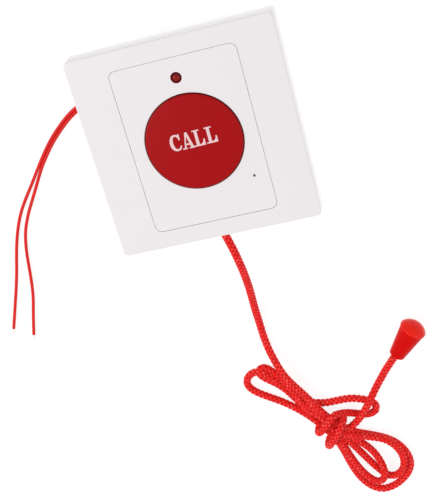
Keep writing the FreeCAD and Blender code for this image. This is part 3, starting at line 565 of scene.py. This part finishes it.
# Curve through control points, read back as the points of an edge mesh
def centreLine(name, route, samples):
    curve = bpy.data.curves.new(name, "CURVE")
    curve.dimensions = "3D"
    curve.resolution_u = samples
    spline = curve.splines.new("NURBS")
    spline.points.add(len(route) - 1)
    for point, place in zip(spline.points, route):
        point.co = (*place, 1.0)
    spline.order_u = 3
    spline.use_endpoint_u = True
    holder = placed(name, curve)
    graph = bpy.context.evaluated_depsgraph_get()
    line = bpy.data.meshes.new_from_object(holder.evaluated_get(graph), depsgraph=graph)
    points = []
    for vertex in line.vertices:
        if not points or (vertex.co - points[-1]).length > closest:
            points.append(vertex.co.copy())
    bpy.data.objects.remove(holder)
    bpy.data.meshes.remove(line)
    return points


def pathMesh(name, lines):
    points, edges = [], []
    for line in lines:
        first = len(points)
        points += [tuple(p) for p in line]
        edges += [(first + i, first + i + 1) for i in range(len(line) - 1)]
    mesh = bpy.data.meshes.new(name + "Path")
    mesh.from_pydata(points, edges, [])
    return mesh


# A plain mesh grown along lines by one of the trees
def grow(name, lines, kind, sizes, material):
    host = placed(name + "Host", pathMesh(name, lines))
    modifier = host.modifiers.new(name, "NODES")
    modifier.node_group = trees[kind]
    values = {**sizes, "Material": material}
    for item in trees[kind].interface.items_tree:
        if item.item_type == "SOCKET" and item.in_out == "INPUT" and item.name in values:
            modifier[item.identifier] = values[item.name]
    graph = bpy.context.evaluated_depsgraph_get()
    mesh = bpy.data.meshes.new_from_object(host.evaluated_get(graph), depsgraph=graph)
    mesh.name = name
    bpy.data.objects.remove(host)
    print(name, len(mesh.polygons), "faces")
    return placed(name, mesh)


def lengthOf(points):
    return sum((b - a).length for a, b in zip(points, points[1:]))


# Pull cord: one line from the slider through the whole hank to the handle
pullCord = {
    "exit": Vector((0, -43, 25.9)) * mm,
    "diameter": 3.3 * mm,
    "samples": 12,
    "sizes": {"Radius": 1.9 * mm, "Yarns": 4.0, "Lay": 8.6 * mm, "Relief": 0.45 * mm,
              "Step": 0.34 * mm, "Sides": 24},
    "route": metres([
        # from the slider down to the floor and along to the hank
        (0, -27.8, 25.9), (0, -38.5, 25.9), (0.2, -43.8, 25.9), (1.1, -48.3, 25.5),
        (1.9, -54, 24.2), (2.2, -60, 21.9), (2.3, -66, 19), (2, -72, 15.6), (1.6, -77.5, 12.3),
        (1.1, -82.5, 9.5), (0.6, -87.3, 7), (0.2, -92, 4.9), (0, -96.7, 3.2),
        (-0.1, -101.3, 2.1), (-0.1, -106, 1.8), (0.2, -111, 1.9), (0.9, -116, 2.6),
        (2, -119.6, 3.8), (3.6, -124.7, 5.6), (5.8, -129.9, 6.8), (8.7, -135.2, 6.6),
        (12, -141.5, 5.6), (15.4, -148.1, 5.4), (19.2, -154.1, 6.2), (22.9, -159, 6.4),
        # large loop, out along the top and back along the left
        (26.5, -162.8, 5.8), (30.6, -167.5, 3.8), (36.1, -170.9, 2.2), (41.6, -173.7, 1.7),
        (46.7, -176.9, 1.7), (50.2, -180.9, 1.7), (52.6, -186, 1.7), (53.3, -191.5, 1.7),
        (51.4, -196.5, 1.7), (47.4, -200.7, 1.7), (42.4, -203.7, 1.7), (36.8, -204.6, 1.7),
        (31.9, -201.8, 1.7), (27.9, -196.3, 1.7), (25.3, -189.2, 1.7), (23.7, -181.8, 1.8),
        (22.4, -175, 2.6),
        # through the knot
        (20.4, -168.3, 4), (17.5, -162.5, 4.3), (14.2, -158, 3.8),
        # open loop at the left
        (10.3, -154.3, 2.2), (5.5, -149.6, 1.7), (-0.2, -144.7, 1.7), (-6.1, -140.8, 1.7),
        (-11.4, -136.8, 1.7), (-14, -133, 1.7), (-13.5, -129.2, 1.7), (-10.2, -126.3, 1.9),
        (-5.6, -125.8, 3.2), (-1.9, -129.8, 3.4), (1.9, -135.3, 1.9), (6.1, -138.6, 1.7),
        (9.8, -143.4, 1.8), (13.4, -148.6, 3.6),
        # through the knot
        (17.2, -154.1, 6.4), (21, -161.1, 7), (25.5, -166, 6.6),
        # second large loop, back down its middle
        (31.3, -168.7, 5.4), (37.4, -170.9, 5), (43.2, -173.1, 5), (47.3, -177.1, 4.8),
        (49.9, -182.7, 4.2), (50.5, -188.6, 4), (48.8, -193.7, 3.6), (45.2, -197, 2.6),
        (41.3, -197.2, 1.7), (38.3, -193.6, 1.7), (35.5, -189.4, 1.7), (32.6, -184.1, 1.7),
        (29.8, -178.7, 2), (27.2, -173.3, 3),
        # through the knot
        (24.3, -167.2, 4.2), (20.3, -161.1, 4.3), (16.2, -155.6, 3.8),
        # narrow loop at the left
        (11.8, -152.3, 2.2), (8.1, -147.1, 1.7), (5, -141.3, 1.7), (1.8, -136.5, 1.7),
        (-1.8, -133.2, 1.7), (-5.1, -130.4, 1.7), (-7.2, -127.4, 1.8), (-6, -124.9, 1.9),
        (-3.1, -124.9, 1.8), (-0.1, -127.9, 2.2), (3.4, -131.4, 3.6), (6.1, -135.3, 4.9),
        (7.8, -140.3, 4.9), (9.6, -146.1, 3.8), (12.6, -152.9, 2.4),
        # through the knot
        (16.9, -156.8, 3.2), (20.5, -161.5, 4.6), (22.5, -167.7, 4.6),
        # short loop, back up the middle
        (24.2, -174.7, 4.4), (25.9, -181.4, 4.2), (28.3, -187.9, 4.2), (31.1, -193.3, 4.2),
        (34.3, -197, 4.4), (37.5, -197.5, 4.8), (39.7, -194.7, 4.9), (40.1, -190.3, 4.6),
        (39, -186.2, 3.4), (37.2, -181.9, 2.4), (34.6, -177.8, 2.2), (31.5, -174.1, 2.4),
        # two turns round the bundle
        (27.9, -171.1, 2.2), (24.3, -170.9, 1.8), (18.5, -168.6, 1.7), (17, -170.3, 4.2),
        (17, -170.3, 7.6), (18.5, -168.3, 10), (22.1, -163.8, 10.7), (25.6, -159.3, 9.9),
        (27.2, -157.3, 7.4), (27.2, -157.3, 4.2), (25.6, -159.3, 1.8), (20.6, -160.4, 1.7),
        (15.6, -160.4, 1.7), (13.9, -162.2, 4.2), (13.9, -162.2, 7.4), (15.6, -160.4, 9.9),
        (19.4, -156.4, 10.5), (22.9, -152.8, 9.7), (25.7, -153.6, 7.4),
        # slipped loop
        (28.7, -155.6, 4.4), (32.2, -158, 2.2), (35.8, -159.7, 1.7), (39.5, -160.3, 1.7),
        (42.6, -159, 1.7), (43.4, -156.1, 1.7), (41.6, -153.4, 1.7), (37.5, -151.4, 1.7),
        (32.1, -149.7, 1.7), (26, -149.8, 1.7), (19.9, -150, 1.7),
        # back under the bundle
        (14.8, -148.7, 1.7), (11.1, -147.9, 1.7), (9.1, -150.1, 1.7), (10, -153.4, 1.8),
        (13.3, -156.3, 2.4), (17.1, -159.2, 3), (20.4, -163, 3.6), (24.1, -165.9, 4),
        # out over the slipped loop to the handle
        (28.7, -164.3, 4.6), (32.8, -161.2, 5), (36.6, -157.2, 5.2), (39.9, -152.8, 5.2),
        (42.7, -148.9, 4.6), (45.4, -145.7, 2.6), (48.4, -142.1, 1.8), (51.6, -137.7, 1.9),
        (57.3, -130.4, 3.4), (59.9, -127.6, 4.2),
    ]),
}


def makePullCord():
    line = centreLine("pullCordLine", pullCord["route"], pullCord["samples"])
    piece = grow("pullCord", [line], "braid", pullCord["sizes"], materials["red_cord"])
    return piece, line


# Knots: the cord wound as a short barrel of two turns
knots = {
    "sizes": {"Radius": 1.5 * mm, "Yarns": 4.0, "Lay": 8 * mm, "Relief": 0.4 * mm,
              "Step": 0.34 * mm, "Sides": 24},
    "turns": 2.0,
    "winding": 1.35 * mm,
    "pitch": 1.5 * mm,
    "samples": 10,
    "pointsPerTurn": 8,
}


def knotLine(name, place, heading):
    heading = heading.normalized()
    first = heading.orthogonal().normalized()
    second = heading.cross(first)
    count = int(knots["turns"] * knots["pointsPerTurn"])
    route = []
    for i in range(count + 1):
        turn = fullTurn * i / knots["pointsPerTurn"]
        lift = (i / count - 0.5) * knots["turns"] * knots["pitch"]
        out = (first * math.cos(turn) + second * math.sin(turn)) * knots["winding"]
        route.append(place + heading * lift + out)
    return centreLine(name, route, knots["samples"])


def makeKnot(name, node, heading):
    line = knotLine(name + "Line", boxMiddle(node), heading)
    return grow(name, [line], "braid", knots["sizes"], materials["red_cord"])


# Two wires from the side of the case, with their bared ends
wires = {
    "exit": Vector((-26.3, 20.5, 8.5)) * mm,
    "diameter": 1.4 * mm,
    "samples": 12,
    "sizes": {"Radius": 0.74 * mm, "Step": 0.7 * mm, "Sides": 20},
    "routes": {
        "wireA": metres([
            (-18.5, 21.25, 8.5), (-31, 21.2, 8.5), (-45, 20.7, 3.4), (-55.4, 15.9, 0.75),
            (-62.8, 10.3, 0.75), (-68.7, 5, 0.75), (-73.5, -0.4, 0.75), (-77.3, -5, 0.75),
            (-83, -12.1, 0.75), (-88, -18, 0.75), (-92.5, -24, 0.75), (-96.8, -31.9, 0.75),
            (-100.5, -40.8, 0.75), (-103.8, -50.5, 0.75), (-107.2, -59.3, 0.75),
            (-111.8, -70.2, 0.75), (-115.7, -79.5, 0.75),
        ]),
        "wireB": metres([
            (-18.5, 19.75, 8.5), (-31, 19.8, 8.5), (-44.3, 19.4, 3.4), (-54.6, 14.7, 0.75),
            (-62, 9.1, 0.75), (-67.7, 4, 0.75), (-72.4, -1.3, 0.75), (-76.2, -5.9, 0.75),
            (-80.3, -12.1, 0.75), (-84.7, -18.6, 0.75), (-89, -24.8, 0.75),
            (-93.3, -32.7, 0.75), (-95.9, -41.3, 0.75), (-97.5, -49.8, 0.75),
            (-99.1, -58.7, 0.75), (-101.1, -66.6, 0.75), (-104.2, -75.2, 0.75),
            (-107.2, -84.7, 0.75),
        ]),
    },
    "strands": {"count": 7, "length": 3.0 * mm, "inside": 1.0 * mm, "circle": 0.27 * mm,
                "turns": 0.45, "points": 9, "headingPoints": 4,
                "sizes": {"Radius": 0.13 * mm, "Step": 0.25 * mm, "Sides": 10}},
}


# Seven strands twisted round each other, past the end of the sheath
def strandLines(line):
    strands = wires["strands"]
    end = line[-1]
    heading = (end - line[-strands["headingPoints"]]).normalized()
    side = heading.cross(Vector((0, 0, 1))).normalized()
    up = side.cross(heading)
    lines = []
    for i in range(strands["count"]):
        circle = 0.0 if i == 0 else strands["circle"]
        points = []
        for j in range(strands["points"]):
            part = j / (strands["points"] - 1)
            turn = fullTurn * (i / (strands["count"] - 1) + strands["turns"] * part)
            reach = part * (strands["length"] + strands["inside"]) - strands["inside"]
            out = (side * math.cos(turn) + up * math.sin(turn)) * circle
            points.append(end + heading * reach + out)
        lines.append(points)
    return lines


def makeWires():
    made = []
    for name, route in wires["routes"].items():
        line = centreLine(name + "Line", route, wires["samples"])
        sheath = grow(name, [line], "sheath", wires["sizes"], materials["red_insulation"])
        tip = grow(name + "Tip", strandLines(line), "sheath", wires["strands"]["sizes"],
                   materials["tinned_metal"])
        made.append((sheath, tip, line))
    return made


# The word on the button, a thin printed layer that follows its crown
word = {
    "skin": {"Colour": colourOf(0.78, 0.56, 0.57), "Tint": 0.04, "Roughness": 0.5},
    "surface": {"Specular IOR Level": 0.2},
    "crownTop": 33.6 * mm,
    "crownRadius": 221.6 * mm,
    "lift": 0.05 * mm,
    "sink": 0.05 * mm,
    "longestEdge": 0.7 * mm,
    "secondL": Vector((5.1, 0.1, 0)) * mm,  # the last letter again, this far on
    "outlines": {
        "letterC": (
            metres([
                (-5.2, 4.95, 0), (-5.7, 4.95, 0), (-5.85, 4.5, 0), (-6.4, 4.85, 0),
                (-7.1, 4.95, 0), (-7.95, 4.8, 0), (-8.7, 4.3, 0), (-9.3, 3.3, 0),
                (-9.6, 2.1, 0), (-9.65, 0.9, 0), (-9.4, -0.3, 0), (-8.8, -1.25, 0),
                (-7.95, -1.85, 0), (-7, -2, 0), (-6.2, -1.85, 0), (-5.55, -1.4, 0),
                (-5.15, -0.7, 0), (-5.05, 0, 0), (-5.65, -0.05, 0), (-5.8, -0.6, 0),
                (-6.2, -1.05, 0), (-6.8, -1.2, 0), (-7.45, -1, 0), (-7.95, -0.4, 0),
                (-8.2, 0.6, 0), (-8.3, 1.7, 0), (-8.2, 2.8, 0), (-7.85, 3.7, 0),
                (-7.3, 4.15, 0), (-6.65, 4.15, 0), (-6.15, 3.7, 0), (-5.9, 3, 0),
                (-5.8, 2.4, 0), (-5.2, 2.4, 0),
            ]),
        ),
        "letterA": (
            metres([
                (-4.95, -1.95, 0), (-3, -1.95, 0), (-3, -1.45, 0), (-3.45, -1.4, 0),
                (-3.28, -0.35, 0), (-1.75, -0.35, 0), (-1.45, -1.4, 0), (-2.2, -1.45, 0),
                (-2.2, -1.95, 0), (0.02, -1.95, 0), (0.02, -1.35, 0), (-0.35, -1.3, 0),
                (-1.85, 4.95, 0), (-2.8, 4.95, 0), (-4.1, -1.35, 0), (-4.95, -1.4, 0),
            ]),
            metres([
                (-3.2, 0.3, 0), (-2.52, 3.3, 0), (-1.85, 0.3, 0),
            ]),
        ),
        "letterL": (
            metres([
                (0.06, -1.85, 0), (4.6, -1.85, 0), (4.6, 0.85, 0), (4.05, 0.85, 0),
                (3.95, 0, 0), (3.5, -0.75, 0), (2.85, -1.15, 0), (2.2, -1.2, 0), (2.2, 4.45, 0),
                (3.1, 4.45, 0), (3.1, 5, 0), (0.2, 5, 0), (0.2, 4.45, 0), (0.95, 4.45, 0),
                (0.95, -1.25, 0), (0.06, -1.3, 0),
            ]),
        ),
    },
}


def onCrown(x, y, lift):
    drop = word["crownRadius"] - math.sqrt(word["crownRadius"] ** 2 - x * x - y * y)
    return Vector((x, y, word["crownTop"] - drop + lift))


def divided(loop):
    points = []
    for a, b in zip(loop, loop[1:] + loop[:1]):
        count = max(1, math.ceil((b - a).length / word["longestEdge"]))
        points += [a.lerp(b, i / count) for i in range(count)]
    return points


# One letter: its outline first, then its holes, closed above, below and round the sides
def letterMesh(loops, vertices, faces):
    loops = [divided(loop) for loop in loops]
    flat = [p for loop in loops for p in loop]
    first, count = len(vertices), len(flat)
    vertices += [onCrown(p.x, p.y, word["lift"]) for p in flat]
    vertices += [onCrown(p.x, p.y, -word["sink"]) for p in flat]
    for a, b, c in tessellate_polygon(loops):
        if (flat[b] - flat[a]).cross(flat[c] - flat[a]).z < 0:
            b, c = c, b
        faces.append((first + a, first + b, first + c))
        faces.append((first + count + a, first + count + c, first + count + b))
    begin = first
    for index, loop in enumerate(loops):
        area = sum(p.x * q.y - q.x * p.y for p, q in zip(loop, loop[1:] + loop[:1]))
        outward = (area > 0) == (index == 0)
        for i in range(len(loop)):
            a, b = begin + i, begin + (i + 1) % len(loop)
            if not outward:
                a, b = b, a
            faces.append((a + count, b + count, b, a))
        begin += len(loop)


def makeWord():
    vertices, faces = [], []
    outlines = word["outlines"]
    again = tuple([p + word["secondL"] for p in loop] for loop in outlines["letterL"])
    for loops in (*outlines.values(), again):
        letterMesh(loops, vertices, faces)
    mesh = bpy.data.meshes.new("buttonWord")
    mesh.from_pydata([tuple(v) for v in vertices], [], faces)
    mesh.validate()
    mesh.materials.append(skinMaterial("wordInkLook", "moulded", word["skin"], word["surface"]))
    return placed("buttonWord", mesh)


# The frame again, its face brought out to tighter corners and to a finer edge along the top.
# Foot, face, reach, draft, fillet and the first two corners are the solid's own, in mm.
frameForm = {
    "foot": 20.0, "face": 32.0, "reach": 43.0, "draft": 0.3, "fillet": 0.6,
    "footCorner": 1.5, "faceCorner": 3.5, "tightCorner": 2.0,
    "skin": 0.75, "slack": 0.01,  # how far inside the corner's arc a point still moves with it
    "topShare": 0.5, "weldDigits": 7,
}


def framePoint(point):
    x, y, z = point / mm
    form = frameForm
    rise = (z - form["foot"]) / (form["face"] - form["foot"])
    wide = form["footCorner"] + rise * (form["faceCorner"] - form["footCorner"])
    shift = rise * (form["faceCorner"] - form["tightCorner"])
    edge = form["reach"] - rise * form["draft"]
    middle = edge - wide
    across, along = abs(x) - middle, abs(y) - middle
    away = math.hypot(across, along)
    if min(across, along) > -form["slack"] and away > wide - form["skin"]:
        share = (away - shift) / away
        x = math.copysign(middle + shift + across * share, x)
        y = math.copysign(middle + shift + along * share, y)
    above = max(z - form["face"] + form["fillet"], 0.0)
    inward = form["fillet"] - math.sqrt(form["fillet"] ** 2 - above ** 2)
    start = form["reach"] - form["footCorner"]
    share = min(max((y - start) / (edge - inward - start), 0.0), 1.0)
    y += share * (rise * form["draft"] + form["topShare"] * inward)
    return Vector((x, y, z)) * mm


def makeFrame():
    source = cadNodes["surround_frame"].data
    corners = [tuple(corner.vector) for corner in source.corner_normals]
    numbers, places, faces, normals = {}, [], [], []
    for polygon in source.polygons:
        face = []
        for index in polygon.vertices:
            place = source.vertices[index].co
            key = tuple(round(c, frameForm["weldDigits"]) for c in place)
            if key not in numbers:
                numbers[key] = len(places)
                places.append(framePoint(place))
            face.append(numbers[key])
        if len(set(face)) == len(face):
            faces.append(face)
            normals += [corners[loop] for loop in polygon.loop_indices]
    mesh = bpy.data.meshes.new("surroundShell")
    mesh.from_pydata(places, [], faces)
    mesh.shade_smooth()
    mesh.normals_split_custom_set(normals)
    mesh.materials.append(surroundWhite)
    return placed("surroundShell", mesh)


# Turned rings: the lip of the opening that the lamp sits behind, and the bead round the button's
# side, which closes the gap there and shows the button's painted rim shade in place of the gap's
# shadow.
# A profile's points are the reach from the axis and the height, in mm.
rings = {
    "ledLip": {
        "profile": ((2.80, 31.15), (2.80, 31.985), (2.39, 31.985), (2.31, 31.96), (2.25, 31.90),
                    (2.22, 31.80), (2.22, 31.15)),
        "steps": 72,
    },
    "buttonGapShadeBead": {
        "profile": ((20.18, 31.10), (20.24, 31.20), (20.24, 31.84), (20.21, 31.91), (20.14, 31.95),
                    (19.80, 31.97), (19.80, 31.00), (20.05, 31.02)),
        "steps": 180,
    },
}
ringCrease = math.radians(40)


def makeRing(name, middle, material):
    count, profile = rings[name]["steps"], rings[name]["profile"]
    places, faces = [], []
    for step in range(count):
        turn = fullTurn * step / count
        for reach, height in profile:
            out = Vector((math.cos(turn), math.sin(turn), 0)) * reach * mm
            places.append(Vector((middle.x, middle.y, height * mm)) + out)
    size = len(profile)
    for step in range(count):
        here, ahead = step * size, (step + 1) % count * size
        for row in range(size):
            other = (row + 1) % size
            faces.append((here + other, here + row, ahead + row, ahead + other))
    mesh = bpy.data.meshes.new(name)
    mesh.from_pydata(places, [], faces)
    mesh.shade_smooth()
    mesh.set_sharp_from_angle(angle=ringCrease)
    mesh.materials.append(material)
    return placed(name, mesh)


# The springs: each a copy of its CAD coil in spring steel, on the housing in place of its node
springs = {
    "returnCoil": {"node": "button_spring", "joint": "button_press", "axis": Vector((0, 0, 1)),
                   "travel": 2.5 * mm},
    "pullCoils": {"node": "pull_springs", "joint": "cord_pull", "axis": Vector((0, 1, 0)),
                  "travel": 4.0 * mm},
}


def makeSpring(name, spring):
    piece = placed(name, cadNodes[spring["node"]].data.copy())
    piece.data.materials.clear()
    piece.data.materials.append(materials["spring_steel"])
    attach(piece, "housing")
    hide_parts(spring["node"])
    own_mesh(piece)


cord, cordLine = makePullCord()
stopKnot = makeKnot("stopKnot", "stop_knot", Vector((0, 1, 0)))
endKnot = makeKnot("endKnot", "end_knot", boxMiddle("bell_lid") - boxMiddle("bell_cone"))
wirePieces = makeWires()
buttonWord = makeWord()
surroundShell = makeFrame()
# The lip wears the panel's material, so its inner wall carries the painted red glow of the lamp
ledLip = makeRing("ledLip", boxMiddle("led_lens"), panelWhite)
# The bead wears the button's material, so its painted rim shade makes it a dark ring standing for
# the shadow in the gap
buttonGapShadeBead = makeRing("buttonGapShadeBead", Vector((0, 0, 0)), materials["red_button"])
print("pieces made")

# Body of each piece, and the node that it replaces, which is hidden
for piece in (cord, stopKnot, endKnot):
    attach(piece, "pull_assembly")
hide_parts("cord_lead", "cord_hank", "cord_bight", "cord_tail")
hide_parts("stop_knot")
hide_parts("end_knot")
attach(buttonWord, "call_button")
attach(buttonGapShadeBead, "call_button")
for piece in (surroundShell, ledLip):
    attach(piece, "housing")
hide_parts("surround_frame")
for sheath, tip, line in wirePieces:
    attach(sheath, "housing")
    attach(tip, "housing")
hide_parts("wire_a")
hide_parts("wire_b")
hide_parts("wire_tips")
for name, spring in springs.items():
    makeSpring(name, spring)
print("pieces given to their bodies")

print("pull cord", round(lengthOf(cordLine), 4), "m")
for sheath, tip, line in wirePieces:
    print(sheath.name, round(lengthOf(line), 4), "m")


# Camera, fitted to the corners of the plate and of its panel
camera = {
    "place": Vector((78.434, 119.554, 432.772)) * mm,
    "axes": ((0.96175416, -0.25931939, -0.08821784), (0.20182418, 0.88862331, -0.41184416),
             (0.1851916, 0.37828834, 0.90697409)),
    "lens": 76.366,
    "sensor": 36.0,
    "clip": (0.01, 20.0),
}


def makeCamera():
    data = bpy.data.cameras.new("camera")
    data.lens = camera["lens"]
    data.sensor_width = camera["sensor"]
    data.clip_start, data.clip_end = camera["clip"]
    holder = placed("camera", data)
    turn = Matrix([Vector(axis) for axis in camera["axes"]]).transposed().to_4x4()
    holder.matrix_world = Matrix.Translation(camera["place"]) @ turn
    bpy.context.scene.camera = holder


# Light: an even white room, one large lamp and a weaker one opposite
light = {
    "room": 0.62,
    "lamps": {
        "keyLamp": {"place": (-0.95, 0.05, 1.20), "size": 0.60, "power": 10.2},
        "fillLamp": {"place": (0.90, -0.35, 0.90), "size": 0.6, "power": 3.0},
    },
    "aim": (0.0, -0.05, 0.0),
}


def seenRays(tree):
    path = addNode(tree, "ShaderNodeLightPath").outputs
    either = mathOf(tree, "MAXIMUM", path["Is Camera Ray"], path["Is Glossy Ray"])
    return mathOf(tree, "MAXIMUM", either, path["Is Transmission Ray"])


def makeWorld():
    world = bpy.data.worlds.new("room")
    world.use_nodes = True
    bpy.context.scene.world = world
    tree = world.node_tree
    back = tree.nodes["Background"]
    back.inputs["Color"].default_value = colourOf(1, 1, 1)
    fill(tree, back.inputs["Strength"], spread(tree, seenRays(tree), 0.0, 1.0, light["room"], 1.0))


def makeLamps():
    for name, lamp in light["lamps"].items():
        data = bpy.data.lights.new(name, "AREA")
        data.shape = "DISK"
        data.size = lamp["size"]
        data.energy = lamp["power"]
        holder = placed(name, data)
        holder.location = lamp["place"]
        aim = Vector(light["aim"]) - holder.location
        holder.rotation_euler = aim.to_track_quat("-Z", "Y").to_euler()


# Floor: white to the eye with the object's soft shadow, plain white for the light that it returns.
# Shown and glow are its colour and light for seen rays, bounce and shine for all others
floor = {"half": 3.0, "depth": 0.0003, "glow": 0.855, "shown": 0.20, "bounce": 0.8, "shine": 0.30}


def makeFloor():
    half, low = floor["half"], -floor["depth"]
    mesh = bpy.data.meshes.new("floor")
    corners = [(-half, -half, low), (half, -half, low), (half, half, low), (-half, half, low)]
    mesh.from_pydata(corners, [], [(0, 1, 2, 3)])
    material = bpy.data.materials.new("floorLook")
    material.use_nodes = True
    tree = material.node_tree
    shader = tree.nodes["Principled BSDF"]
    seen = seenRays(tree)
    level = spread(tree, seen, 0.0, 1.0, floor["bounce"], floor["shown"])
    grey = addNode(tree, "ShaderNodeCombineXYZ", {"X": level, "Y": level, "Z": level}).outputs[0]
    fill(tree, shader.inputs["Base Color"], grey)
    shader.inputs["Roughness"].default_value = 1.0
    shader.inputs["Specular IOR Level"].default_value = 0.0
    shader.inputs["Emission Color"].default_value = colourOf(1, 1, 1)
    glow = spread(tree, seen, 0.0, 1.0, floor["shine"], floor["glow"])
    fill(tree, shader.inputs["Emission Strength"], glow)
    mesh.materials.append(material)
    placed("floor", mesh)


makeCamera()
makeWorld()
makeLamps()
makeFloor()
bpy.context.scene.view_settings.view_transform = "Standard"
print("camera, light and floor made")
